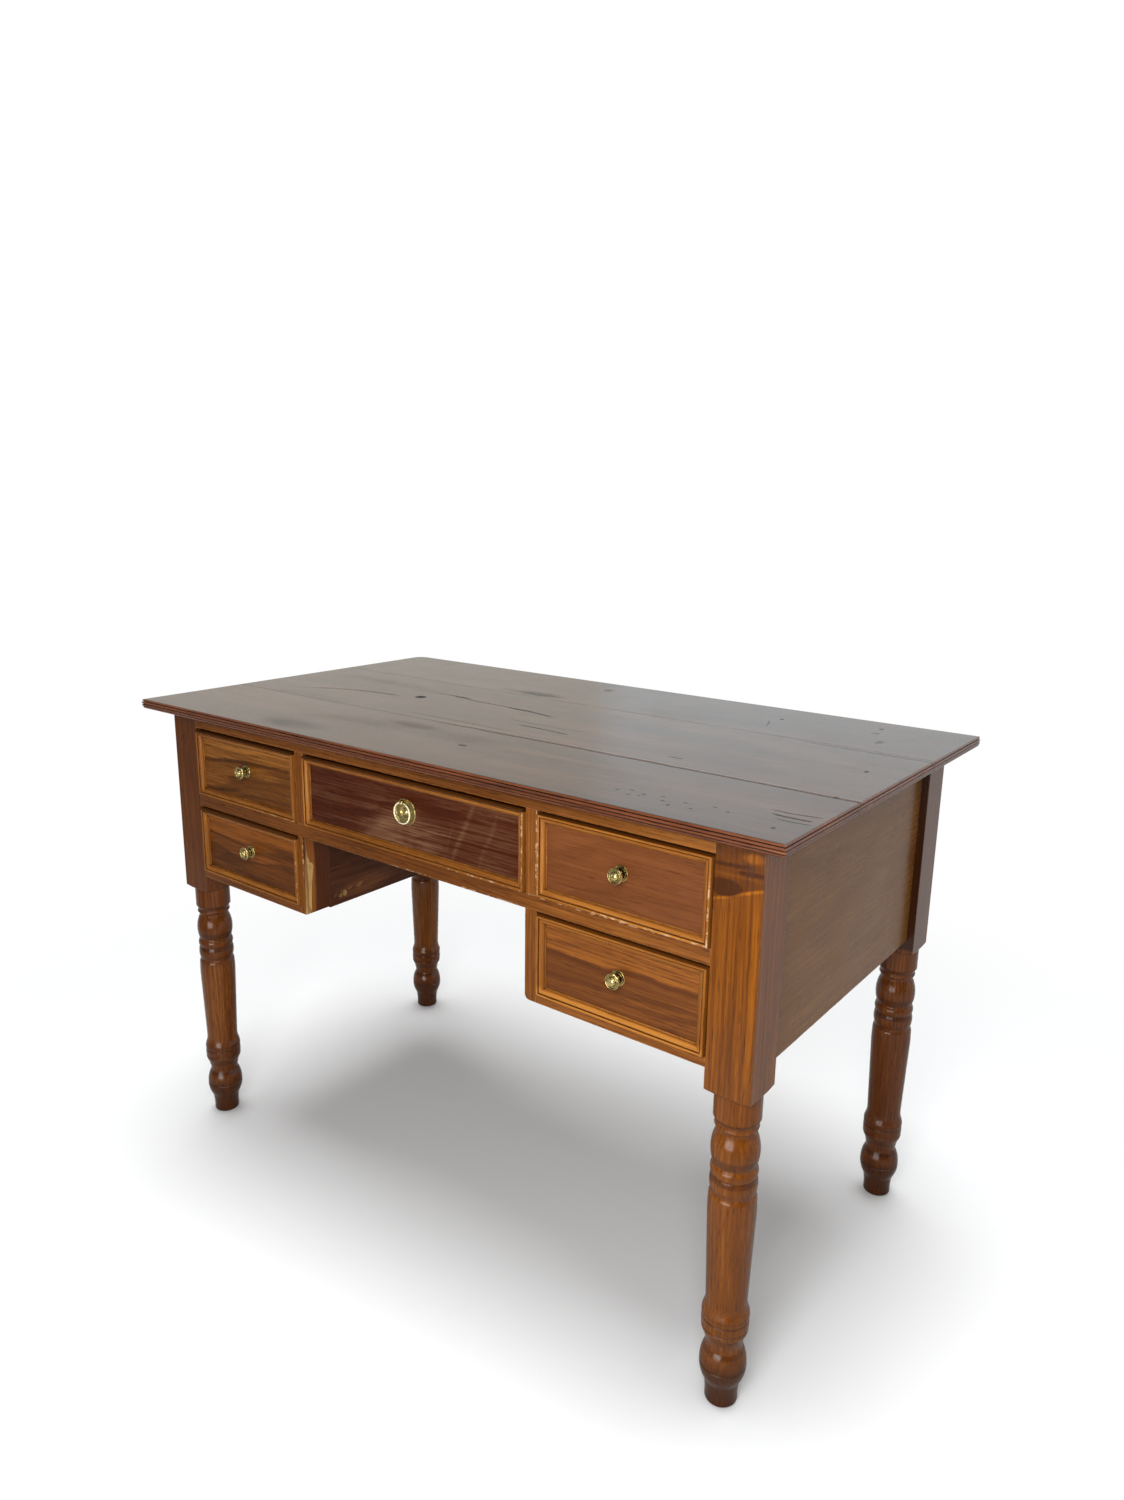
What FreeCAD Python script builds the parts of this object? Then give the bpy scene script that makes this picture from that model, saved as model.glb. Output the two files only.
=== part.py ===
# Writing desk with five drawers on four turned legs, in joined and waxed wood with brass pulls.
# Millimetres, +Z up. The origin is on the floor under the middle of the top, and the drawers face -Y.
import FreeCAD
import Part
import math
import os

V = FreeCAD.Vector

# Overall size, and where the frame stands under the top
TOP_WIDTH = 1200.0
TOP_DEPTH = 666.0
DESK_HEIGHT = 784.0
TOP_THICKNESS = 16.0
SIDE_OVERHANG = 39.0
FRONT_OVERHANG = 35.0
BACK_OVERHANG = 35.0

# Front frame: heights from the top down, widths from the middle out
TOP_RAIL_HEIGHT = 25.0
UPPER_OPENING = 116.0
MIDDLE_RAIL_HEIGHT = 21.0
LOWER_OPENING = 118.0
BOTTOM_RAIL_HEIGHT = 12.0
CENTRE_OPENING = 445.0
UPRIGHT_WIDTH = 18.5
RAIL_DEPTH = 45.0
STILE_CORNER_RADIUS = 8.0

# Top: three planks, tongued and grooved, with a reeded edge on the front and both ends
FRONT_BOARD_WIDTH = 200.0
BACK_BOARD_WIDTH = 203.0
BOARD_GAP = 0.5
BOARD_TONGUE_LENGTH = 8.0
BOARD_TONGUE_THICKNESS = 5.5
EDGE_SETBACK = 4.0
# Reeded edge from the top arris down: shares of (setback, depth), or of an arc's (crown, end)
EDGE_SHARES = (
    (0.8, 0.0),
    (0.35, 0.05, 0.22, 0.15),
    (0.22, 0.19),
    (0.7, 0.2),
    (0.7, 0.255),
    (0.2, 0.265),
    (0.0, 0.37, 0.17, 0.475),
    (0.45, 0.485),
    (0.45, 0.52),
    (0.15, 0.535),
    (0.03, 0.63, 0.18, 0.725),
    (0.48, 0.735),
    (0.48, 0.77),
    (0.3, 0.785),
    (0.48, 0.92, 1.0, 1.0),
)

# Legs: a square post above, turned below
LEG_SQUARE = 62.0
SQUARE_BELOW_RAIL = 30.0
SHOULDER_RISE = 5.0
SHOULDER_ROUND_SHARE = 1.1
TURNED_DIAMETER = 61.0
# Turning from the floor up: shares of (radius, height), or of an arc's (crown, end)
TURNING_SHARES = (
    (0.0, 0.0),
    (0.607, 0.0),
    (0.675, 0.0035, 0.695, 0.0105),
    (0.704, 0.0404, 0.764, 0.07),
    (0.803, 0.076),
    (0.943, 0.099, 0.993, 0.124),
    (0.957, 0.127),
    (0.993, 0.13),
    (0.947, 0.158, 0.796, 0.1855),
    (0.766, 0.195, 0.796, 0.204),
    (0.852, 0.2226, 0.96, 0.24),
    (0.985, 0.246, 0.99, 0.252),
    (0.957, 0.2545),
    (0.99, 0.257),
    (1.0, 0.269, 0.99, 0.2815),
    (0.96, 0.284),
    (0.99, 0.2865),
    (1.0, 0.298, 0.96, 0.311),
    (0.891, 0.326, 0.866, 0.342),
    (0.99, 0.606),
    (1.0, 0.64, 0.985, 0.671),
    (0.965, 0.6816, 0.905, 0.69),
    (0.918, 0.693),
    (0.981, 0.7175, 0.938, 0.742),
    (0.918, 0.7445),
    (0.935, 0.747),
    (0.973, 0.762, 0.905, 0.776),
    (0.895, 0.7795),
    (0.994, 0.829, 0.807, 0.878),
    (0.807, 0.888),
    (0.9, 0.894, 0.87, 0.902),
    (0.886, 0.9125, 0.967, 0.92),
    (0.967, 1.0),
    (0.0, 1.0),
    (0.0, 0.0),
)

# Panels and back boards
PANEL_THICKNESS = 16.0
PANEL_INSET = 11.0
SIDE_PANEL_DROP = 8.0

# Joints of the frame
TENON_LENGTH = 24.0
STUB_LENGTH = 8.0
TONGUE_LENGTH = 10.0
TONGUE_SHOULDER = 12.0
TENON_THICKNESS_SHARE = 0.5
TENON_WIDTH_SHARE = 0.64
JOINT_PLAY = 0.15
OVERRUN = 20.0

# Runners, guides, kickers and stops of the drawers
RUNNER_BEARING = 20.0
GUIDE_RISE = 19.0
STOP_WIDTH = 22.0
STOP_DEPTH = 14.0
STOP_HEIGHT = 5.0
STOP_PLACE_SHARES = (0.25, 0.75)

# Glue blocks and screws under the top
GLUE_BLOCK_SIZE = 28.0
GLUE_BLOCK_LENGTH = 60.0
SIDE_BLOCK_SHARES = (0.25, 0.75)
BACK_BLOCK_SHARES = (0.12, 0.5, 0.88)
SCREW_LENGTH = 35.0
SCREW_DIAMETER = 4.5
SCREW_HEAD_DIAMETER = 8.4
SCREW_HEAD_HEIGHT = 3.2
SCREW_PLACE_SHARES = (0.15, 0.5, 0.85)

# Drawers
DRAWER_REAR_SPACE = 63.0
DRAWER_SIDE_PLAY = 2.5
DRAWER_TOP_PLAY = 4.0
DRAWER_FRONT_LIFT = 0.8
RUNNING_PLAY = 0.3
FIELD_SETBACK = 4.0
DRAWER_FRONT_THICKNESS = 18.0
DRAWER_SIDE_THICKNESS = 12.0
DRAWER_BACK_THICKNESS = 12.0
DRAWER_SIDE_DROP = 8.0
DRAWER_BACK_DROP = 5.0
DRAWER_BOTTOM_THICKNESS = 7.0
DRAWER_BOTTOM_RISE = 9.0
DRAWER_GROOVE_DEPTH = 5.0
DOVETAIL_LENGTH = 12.0
DOVETAIL_COUNT = 3
DOVETAIL_TIP_SHARE = 0.7
DOVETAIL_ROOT_SHARE = 0.55

# Beading round each drawer front, mitred at the corners
BEADING_WIDTH = 12.0
BEADING_HEIGHT = 8.0
# Section from the outer edge in: shares of (width, height), or of an arc's (crown, end)
BEADING_SHARES = (
    (0.0, 0.0),
    (0.0, 0.86),
    (0.02, 0.96, 0.09, 1.0),
    (0.2, 1.0),
    (0.26, 0.96, 0.28, 0.86),
    (0.28, 0.62),
    (0.36, 0.62),
    (0.38, 0.8, 0.46, 0.84),
    (0.7, 0.7, 0.87, 0.34),
    (0.87, 0.16),
    (1.0, 0.16),
    (1.0, 0.0),
    (0.0, 0.0),
)

# Brass knobs of the side drawers
KNOB_DIAMETER = 21.5
KNOB_REACH = 22.0
KNOB_RISE = 4.5
ROSE_DIAMETER = 21.0
ROSE_THICKNESS = 3.0
SHANK_DIAMETER = 4.0
NUT_WIDTH = 8.0
NUT_THICKNESS = 3.5
# Knob from its foot out: shares of (radius, reach), or of an arc's (crown, end)
KNOB_SHARES = (
    (0.0, 0.0),
    (0.5, 0.0),
    (0.5, 0.05),
    (0.38, 0.09, 0.34, 0.18),
    (0.34, 0.36),
    (0.42, 0.47, 0.64, 0.51),
    (0.9, 0.57, 0.98, 0.68),
    (1.0, 0.75, 0.93, 0.81),
    (0.85, 0.84, 0.77, 0.82),
    (0.71, 0.8, 0.65, 0.83),
    (0.45, 0.95, 0.06, 1.0),
    (0.0, 1.0),
    (0.0, 0.0),
)
# Rose from the wood out: shares of (radius, thickness), or of an arc's (crown, end)
ROSE_SHARES = (
    (0.0, 0.0),
    (1.0, 0.0),
    (1.0, 0.35),
    (0.97, 0.65, 0.88, 0.75),
    (0.76, 0.75),
    (0.71, 0.82, 0.68, 1.0),
    (0.0, 1.0),
    (0.0, 0.0),
)

# Ring pull of the centre drawer
PLATE_DIAMETER = 40.0
PLATE_HEIGHT = 4.5
RING_DIAMETER = 34.0
RING_WIRE = 3.2
RING_REACH = 8.5
RING_RISE = 9.0
EYE_DIAMETER = 7.6
EYE_PLAY = 0.75
POST_DIAMETER = 5.0
PLATE_DISH_SHARE = 0.34
# Plate from the wood out: shares of (radius, height), or of an arc's (crown, end)
PLATE_SHARES = (
    (0.0, 0.0),
    (1.0, 0.0),
    (1.0, 0.3),
    (0.96, 0.55, 0.92, PLATE_DISH_SHARE),
    (0.56, PLATE_DISH_SHARE),
    (0.55, 0.57, 0.5, 0.7),
    (0.45, 0.78, 0.4, 0.7),
    (0.36, 0.53, 0.32, 0.5),
    (0.27, 0.54, 0.24, 0.7),
    (0.14, 0.92, 0.04, 1.0),
    (0.0, 1.0),
    (0.0, 0.0),
)

# Planes of the frame
X_POST_OUT = TOP_WIDTH / 2 - SIDE_OVERHANG
X_POST_IN = X_POST_OUT - LEG_SQUARE
X_PANEL_OUT = X_POST_OUT - PANEL_INSET
X_PANEL_IN = X_PANEL_OUT - PANEL_THICKNESS
X_KNEE = CENTRE_OPENING / 2
X_UPRIGHT_OUT = X_KNEE + UPRIGHT_WIDTH
X_UPRIGHT = X_KNEE + UPRIGHT_WIDTH / 2
X_KNEE_PANEL_IN = X_UPRIGHT - PANEL_THICKNESS / 2
X_KNEE_PANEL_OUT = X_UPRIGHT + PANEL_THICKNESS / 2
Y_FACE = -TOP_DEPTH / 2 + FRONT_OVERHANG
Y_RAIL_BACK = Y_FACE + RAIL_DEPTH
Y_RAIL = Y_FACE + RAIL_DEPTH / 2
Y_FRONT_POST_BACK = Y_FACE + LEG_SQUARE
Y_REAR = TOP_DEPTH / 2 - BACK_OVERHANG
Y_BACK_POST_FRONT = Y_REAR - LEG_SQUARE
Y_BACK_OUT = Y_REAR - PANEL_INSET
Y_BACK_IN = Y_BACK_OUT - PANEL_THICKNESS
Y_FIELD = Y_FACE + FIELD_SETBACK
DRAWER_LENGTH = Y_BACK_IN - DRAWER_REAR_SPACE - Y_FACE
Z_FRAME_TOP = DESK_HEIGHT - TOP_THICKNESS
Z_UPPER_TOP = Z_FRAME_TOP - TOP_RAIL_HEIGHT
Z_UPPER = Z_UPPER_TOP - UPPER_OPENING
Z_LOWER_TOP = Z_UPPER - MIDDLE_RAIL_HEIGHT
Z_LOWER = Z_LOWER_TOP - LOWER_OPENING
Z_BOTTOM_RAIL = Z_LOWER - BOTTOM_RAIL_HEIGHT
Z_SIDE_PANEL = Z_BOTTOM_RAIL - SIDE_PANEL_DROP
Z_SQUARE = Z_BOTTOM_RAIL - SQUARE_BELOW_RAIL

SIDES = (("left", -1), ("right", 1))
OUTWARD = V(0, -1, 0)
pieces = {}


def box(xs, ys, zs):
    """A board between two planes each way, given in either order."""
    low = V(min(xs), min(ys), min(zs))
    return Part.makeBox(max(xs) - low.x, max(ys) - low.y, max(zs) - low.z, low)


def middle(centre, width):
    """The two planes of a width about its centre."""
    return (centre - width / 2, centre + width / 2)


def inset(low, high, margin):
    """Two planes drawn in by a margin."""
    return (low + margin, high - margin)


def prism(points, travel):
    """A straight prism on a polygon."""
    return Part.Face(Part.makePolygon(points + points[:1])).extrude(travel)


def outline(shares, across, along, place):
    """Edges through a table of shares: a row of two ends a straight, a row of four is an arc."""
    points = [[place(across * row[i], along * row[i + 1]) for i in range(0, len(row), 2)] for row in shares]
    edges = []
    for before, row in zip(points, points[1:]):
        if len(row) > 1:
            edges.append(Part.Arc(before[-1], row[0], row[1]).toShape())
        else:
            edges.append(Part.LineSegment(before[-1], row[0]).toShape())
    return edges


def turned(shares, radius, height):
    """A turning about the Z axis from a closed table of shares."""
    edges = outline(shares, radius, height, lambda r, z: V(r, 0, z))
    return Part.Face(Part.Wire(edges)).revolve(V(0, 0, 0), V(0, 0, 1), 360)


def facing_front(solid, x, y, z):
    """Turns a piece made along +Z to point along -Y, at a place."""
    moved = solid.copy()
    moved.Placement = FreeCAD.Placement(V(x, y, z), FreeCAD.Rotation(V(1, 0, 0), 90))
    return moved


def joint(tenon_node, mortise_node, xs, ys, zs):
    """Adds a tenon to one piece and cuts its mortise, a little larger all round, in the other."""
    pieces[tenon_node] = pieces[tenon_node].fuse(box(xs, ys, zs))
    room = [(min(pair) - JOINT_PLAY, max(pair) + JOINT_PLAY) for pair in (xs, ys, zs)]
    pieces[mortise_node] = pieces[mortise_node].cut(box(*room))


def build_legs():
    """Four legs: the post is squared, its lower end turned away to the round."""
    radius = TURNED_DIAMETER / 2
    foot = turned(TURNING_SHARES, radius, Z_SQUARE)
    half = LEG_SQUARE / 2
    post = box((-half, half), (-half, half), (Z_SQUARE, Z_FRAME_TOP))
    shoulder = Part.makeCone(half * SHOULDER_ROUND_SHARE, LEG_SQUARE, SHOULDER_RISE, V(0, 0, Z_SQUARE))
    shaft = Part.makeCylinder(LEG_SQUARE, Z_FRAME_TOP, V(0, 0, Z_SQUARE + SHOULDER_RISE))
    leg = foot.fuse(post.common(shoulder.fuse(shaft))).removeSplitter()
    for side, sign in SIDES:
        for end, y in (("front", Y_FACE + half), ("back", Y_REAR - half)):
            pieces["leg_%s_%s" % (end, side)] = leg.translated(V(sign * (X_POST_OUT - half), y, 0))


def build_rails():
    """Front frame: rails tenoned into the legs, uprights and stiles stub-tenoned into the rails."""
    rail_y = (Y_FACE, Y_RAIL_BACK)
    tenon_y = middle(Y_RAIL, RAIL_DEPTH * TENON_WIDTH_SHARE)
    stub_x = UPRIGHT_WIDTH * TENON_THICKNESS_SHARE
    for node, low, high in (("top_rail", Z_UPPER_TOP, Z_FRAME_TOP), ("middle_rail", Z_LOWER_TOP, Z_UPPER)):
        pieces[node] = box((-X_POST_IN, X_POST_IN), rail_y, (low, high))
        tenon_z = middle((low + high) / 2, (high - low) * TENON_THICKNESS_SHARE)
        for side, sign in SIDES:
            tenon_x = (sign * X_POST_IN, sign * (X_POST_IN + TENON_LENGTH))
            joint(node, "leg_front_" + side, tenon_x, tenon_y, tenon_z)
    for side, sign in SIDES:
        upright_x = (sign * X_KNEE, sign * X_UPRIGHT_OUT)
        stub = middle(sign * X_UPRIGHT, stub_x)
        upright = "upright_" + side
        pieces[upright] = box(upright_x, rail_y, (Z_UPPER, Z_UPPER_TOP))
        joint(upright, "top_rail", stub, tenon_y, (Z_UPPER_TOP, Z_UPPER_TOP + STUB_LENGTH))
        joint(upright, "middle_rail", stub, tenon_y, (Z_UPPER - STUB_LENGTH, Z_UPPER))
        stile = "stile_" + side
        body = box(upright_x, rail_y, (Z_BOTTOM_RAIL, Z_LOWER_TOP))
        corner = [e for e in body.Edges if math.isclose(e.CenterOfMass.x, sign * X_KNEE)
                  and math.isclose(e.CenterOfMass.z, Z_BOTTOM_RAIL)]
        pieces[stile] = body.makeFillet(STILE_CORNER_RADIUS, corner)
        joint(stile, "middle_rail", stub, tenon_y, (Z_LOWER_TOP, Z_LOWER_TOP + STUB_LENGTH))
        rail = "bottom_rail_" + side
        pieces[rail] = box((sign * X_UPRIGHT_OUT, sign * X_POST_IN), rail_y, (Z_BOTTOM_RAIL, Z_LOWER))
        tenon_z = middle((Z_BOTTOM_RAIL + Z_LOWER) / 2, BOTTOM_RAIL_HEIGHT * TENON_THICKNESS_SHARE)
        leg_x = (sign * X_POST_IN, sign * (X_POST_IN + TENON_LENGTH))
        joint(rail, "leg_front_" + side, leg_x, tenon_y, tenon_z)
        stile_x = (sign * (X_UPRIGHT_OUT - STUB_LENGTH), sign * X_UPRIGHT_OUT)
        joint(rail, stile, stile_x, tenon_y, tenon_z)


def build_panels():
    """Side panels, back boards and kneehole panels, tongued into their neighbours."""
    tongue = PANEL_THICKNESS * TENON_THICKNESS_SHARE
    tongue_y = middle((Y_BACK_IN + Y_BACK_OUT) / 2, tongue)
    back_y = (Y_BACK_IN, Y_BACK_OUT)
    pieces["back_apron"] = box((-X_POST_IN, X_POST_IN), back_y, (Z_LOWER_TOP, Z_FRAME_TOP))
    upper_z = inset(Z_UPPER, Z_UPPER_TOP, TONGUE_SHOULDER)
    apron_z = inset(Z_LOWER_TOP, Z_FRAME_TOP, TONGUE_SHOULDER)
    lower_z = inset(Z_BOTTOM_RAIL, Z_LOWER_TOP, TONGUE_SHOULDER)
    side_z = inset(Z_SIDE_PANEL, Z_FRAME_TOP, TONGUE_SHOULDER)
    for side, sign in SIDES:
        panel = "side_panel_" + side
        panel_x = (sign * X_PANEL_IN, sign * X_PANEL_OUT)
        panel_y = (Y_FRONT_POST_BACK, Y_BACK_POST_FRONT)
        pieces[panel] = box(panel_x, panel_y, (Z_SIDE_PANEL, Z_FRAME_TOP))
        tongue_x = middle(sign * (X_PANEL_IN + X_PANEL_OUT) / 2, tongue)
        front_y = (Y_FRONT_POST_BACK - TONGUE_LENGTH, Y_FRONT_POST_BACK)
        rear_y = (Y_BACK_POST_FRONT, Y_BACK_POST_FRONT + TONGUE_LENGTH)
        joint(panel, "leg_front_" + side, tongue_x, front_y, side_z)
        joint(panel, "leg_back_" + side, tongue_x, rear_y, side_z)

        board = "back_board_" + side
        pieces[board] = box((sign * X_KNEE, sign * X_POST_IN), back_y, (Z_BOTTOM_RAIL, Z_LOWER_TOP))
        leg_x = (sign * X_POST_IN, sign * (X_POST_IN + TENON_LENGTH))
        joint(board, "leg_back_" + side, leg_x, tongue_y, lower_z)
        joint("back_apron", "leg_back_" + side, leg_x, tongue_y, apron_z)

        knee = "kneehole_panel_" + side
        knee_x = (sign * X_KNEE_PANEL_IN, sign * X_KNEE_PANEL_OUT)
        pieces[knee] = box(knee_x, (Y_RAIL_BACK, Y_BACK_IN), (Z_BOTTOM_RAIL, Z_FRAME_TOP))
        knee_tongue = middle(sign * X_UPRIGHT, tongue)
        front_y = (Y_RAIL_BACK - STUB_LENGTH, Y_RAIL_BACK)
        rear_y = (Y_BACK_IN, Y_BACK_IN + STUB_LENGTH)
        joint(knee, "upright_" + side, knee_tongue, front_y, upper_z)
        joint(knee, "stile_" + side, knee_tongue, front_y, lower_z)
        joint(knee, "back_apron", knee_tongue, rear_y, apron_z)
        joint(knee, board, knee_tongue, rear_y, lower_z)


def build_top():
    """Three tongued planks; the reeded edge is planed on the front and on both ends."""
    half_width = TOP_WIDTH / 2
    half_depth = TOP_DEPTH / 2
    boards = (
        ("top_board_front", -half_depth, -half_depth + FRONT_BOARD_WIDTH),
        ("top_board_middle", -half_depth + FRONT_BOARD_WIDTH + BOARD_GAP, half_depth - BACK_BOARD_WIDTH),
        ("top_board_back", half_depth - BACK_BOARD_WIDTH + BOARD_GAP, half_depth),
    )
    for node, front, back in boards:
        pieces[node] = box((-half_width, half_width), (front, back), (Z_FRAME_TOP, DESK_HEIGHT))
    tongue_z = middle(DESK_HEIGHT - TOP_THICKNESS / 2, BOARD_TONGUE_THICKNESS)
    for (before, _, edge), (after, start, _) in zip(boards, boards[1:]):
        tongue_y = (edge - BOARD_TONGUE_LENGTH, start)
        joint(after, before, (-half_width, half_width), tongue_y, tongue_z)
    planes = (
        (V(-half_width - OVERRUN, -half_depth, DESK_HEIGHT), V(0, 1, 0), V(TOP_WIDTH + 2 * OVERRUN, 0, 0)),
        (V(-half_width, -half_depth - OVERRUN, DESK_HEIGHT), V(1, 0, 0), V(0, TOP_DEPTH + 2 * OVERRUN, 0)),
        (V(half_width, -half_depth - OVERRUN, DESK_HEIGHT), V(-1, 0, 0), V(0, TOP_DEPTH + 2 * OVERRUN, 0)),
    )
    for corner, inward, run in planes:
        def place(setback, depth):
            return corner + inward * setback - V(0, 0, depth)
        edges = outline(EDGE_SHARES, EDGE_SETBACK, TOP_THICKNESS, place)
        upper = EDGE_SETBACK * EDGE_SHARES[0][0]
        around = (
            place(EDGE_SETBACK, TOP_THICKNESS),
            place(EDGE_SETBACK, TOP_THICKNESS + OVERRUN),
            place(-OVERRUN, TOP_THICKNESS + OVERRUN),
            place(-OVERRUN, -OVERRUN),
            place(upper, -OVERRUN),
            place(upper, 0),
        )
        for start, end in zip(around, around[1:]):
            edges.append(Part.LineSegment(start, end).toShape())
        plane = Part.Face(Part.Wire(edges)).extrude(run)
        for node, _, _ in boards:
            pieces[node] = pieces[node].cut(plane)


def build_runners():
    """Runners, guides, kickers and stops: plain strips on the panels, between the rails and the back."""
    runner_y = (Y_RAIL_BACK, Y_BACK_IN)
    guide_y = (Y_FRONT_POST_BACK, Y_BACK_POST_FRONT)
    kicker_z = (Z_UPPER_TOP, Z_FRAME_TOP)
    runners, guides, kickers = [], [], []
    for side, sign in SIDES:
        outer_x = (sign * X_POST_IN, sign * (X_POST_IN - RUNNER_BEARING))
        inner_x = (sign * X_KNEE_PANEL_OUT, sign * (X_UPRIGHT_OUT + RUNNER_BEARING))
        centre_x = (sign * X_KNEE_PANEL_IN, sign * (X_KNEE - RUNNER_BEARING))
        for level in (Z_UPPER, Z_LOWER):
            strip_z = (level - BOTTOM_RAIL_HEIGHT, level)
            runners += [box(outer_x, runner_y, strip_z), box(inner_x, runner_y, strip_z)]
            guide_z = (level - BOTTOM_RAIL_HEIGHT, level + GUIDE_RISE)
            guides.append(box((sign * X_POST_IN, sign * X_PANEL_IN), guide_y, guide_z))
        runners.append(box(centre_x, runner_y, (Z_UPPER - BOTTOM_RAIL_HEIGHT, Z_UPPER)))
        kickers += [box(xs, runner_y, kicker_z) for xs in (outer_x, inner_x, centre_x)]
    stops = []
    stop_y = Y_FIELD + DRAWER_FRONT_THICKNESS + RUNNING_PLAY
    for (x0, x1, z0, _) in openings().values():
        for share in STOP_PLACE_SHARES:
            stop_x = middle(x0 + (x1 - x0) * share, STOP_WIDTH)
            stops.append(box(stop_x, (stop_y, stop_y + STOP_DEPTH), (z0, z0 + STOP_HEIGHT)))
    pieces["drawer_runners"] = Part.makeCompound(runners)
    pieces["drawer_guides"] = Part.makeCompound(guides)
    pieces["drawer_stops"] = Part.makeCompound(stops)
    return kickers


def build_fixings(kickers):
    """Screws up through the kickers into the top, and glue blocks in its inner corners."""
    radius = SCREW_DIAMETER / 2
    head_radius = SCREW_HEAD_DIAMETER / 2
    screw = Part.makeCylinder(radius, SCREW_LENGTH).fuse(
        Part.makeCone(head_radius, radius, SCREW_HEAD_HEIGHT)).removeSplitter()
    room = Part.makeCylinder(radius + JOINT_PLAY, SCREW_LENGTH + JOINT_PLAY).fuse(
        Part.makeCone(head_radius + JOINT_PLAY, radius + JOINT_PLAY, SCREW_HEAD_HEIGHT))
    screws, rooms, drilled = [], [], []
    for kicker in kickers:
        bounds = kicker.BoundBox
        for share in SCREW_PLACE_SHARES:
            place = V(bounds.Center.x, bounds.YMin + bounds.YLength * share, Z_UPPER_TOP)
            screws.append(screw.translated(place))
            rooms.append(room.translated(place))
            kicker = kicker.cut(rooms[-1])
        drilled.append(kicker)
    for node in ("top_board_front", "top_board_middle", "top_board_back"):
        pieces[node] = pieces[node].cut(Part.makeCompound(rooms))
    pieces["drawer_kickers"] = Part.makeCompound(drilled)
    pieces["top_screws"] = Part.makeCompound(screws)
    blocks = []
    low = Z_FRAME_TOP - GLUE_BLOCK_SIZE
    for _, sign in SIDES:
        corner = [V(sign * X_PANEL_IN, 0, low), V(sign * X_PANEL_IN, 0, Z_FRAME_TOP),
                  V(sign * (X_PANEL_IN - GLUE_BLOCK_SIZE), 0, Z_FRAME_TOP)]
        block = prism(corner, V(0, GLUE_BLOCK_LENGTH, 0))
        run = Y_BACK_POST_FRONT - Y_FRONT_POST_BACK
        for share in SIDE_BLOCK_SHARES:
            blocks.append(block.translated(V(0, Y_FRONT_POST_BACK + run * share - GLUE_BLOCK_LENGTH / 2, 0)))
    corner = [V(0, Y_BACK_IN, low), V(0, Y_BACK_IN, Z_FRAME_TOP),
              V(0, Y_BACK_IN - GLUE_BLOCK_SIZE, Z_FRAME_TOP)]
    block = prism(corner, V(GLUE_BLOCK_LENGTH, 0, 0))
    for share in BACK_BLOCK_SHARES:
        blocks.append(block.translated(V(2 * X_POST_IN * share - X_POST_IN - GLUE_BLOCK_LENGTH / 2, 0, 0)))
    pieces["glue_blocks"] = Part.makeCompound(blocks)


def openings():
    """The five openings of the front frame: (left, right, bottom, top)."""
    return {
        "left_upper": (-X_POST_IN, -X_UPRIGHT_OUT, Z_UPPER, Z_UPPER_TOP),
        "left_lower": (-X_POST_IN, -X_UPRIGHT_OUT, Z_LOWER, Z_LOWER_TOP),
        "centre": (-X_KNEE, X_KNEE, Z_UPPER, Z_UPPER_TOP),
        "right_upper": (X_UPRIGHT_OUT, X_POST_IN, Z_UPPER, Z_UPPER_TOP),
        "right_lower": (X_UPRIGHT_OUT, X_POST_IN, Z_LOWER, Z_LOWER_TOP),
    }


def dovetails(xs, root, tip, low, high):
    """A row of tails from the root plane to the tip plane, wider at the tip, over a height."""
    pitch = (high - low) / DOVETAIL_COUNT
    tails = []
    for count in range(DOVETAIL_COUNT):
        centre = low + pitch * (count + 0.5)
        root_z = middle(centre, pitch * DOVETAIL_ROOT_SHARE)
        tip_z = middle(centre, pitch * DOVETAIL_TIP_SHARE)
        ends = [(root, root_z[0]), (tip, tip_z[0]), (tip, tip_z[1]), (root, root_z[1])]
        points = [V(min(xs), y, z) for y, z in ends]
        tails.append(prism(points, V(max(xs) - min(xs), 0, 0)))
    return tails


def mitred_strip(corner, along, inward, length):
    """One strip of beading on the field, its ends cut at 45 degrees."""
    def place(setback, height):
        return corner + inward * setback + OUTWARD * height
    section = Part.Face(Part.Wire(outline(BEADING_SHARES, BEADING_WIDTH, BEADING_HEIGHT, place)))
    inner = corner + inward * BEADING_WIDTH
    plan = [corner, corner + along * length,
            inner + along * (length - BEADING_WIDTH), inner + along * BEADING_WIDTH]
    return section.extrude(along * length).common(prism(plan, OUTWARD * BEADING_HEIGHT))


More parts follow.
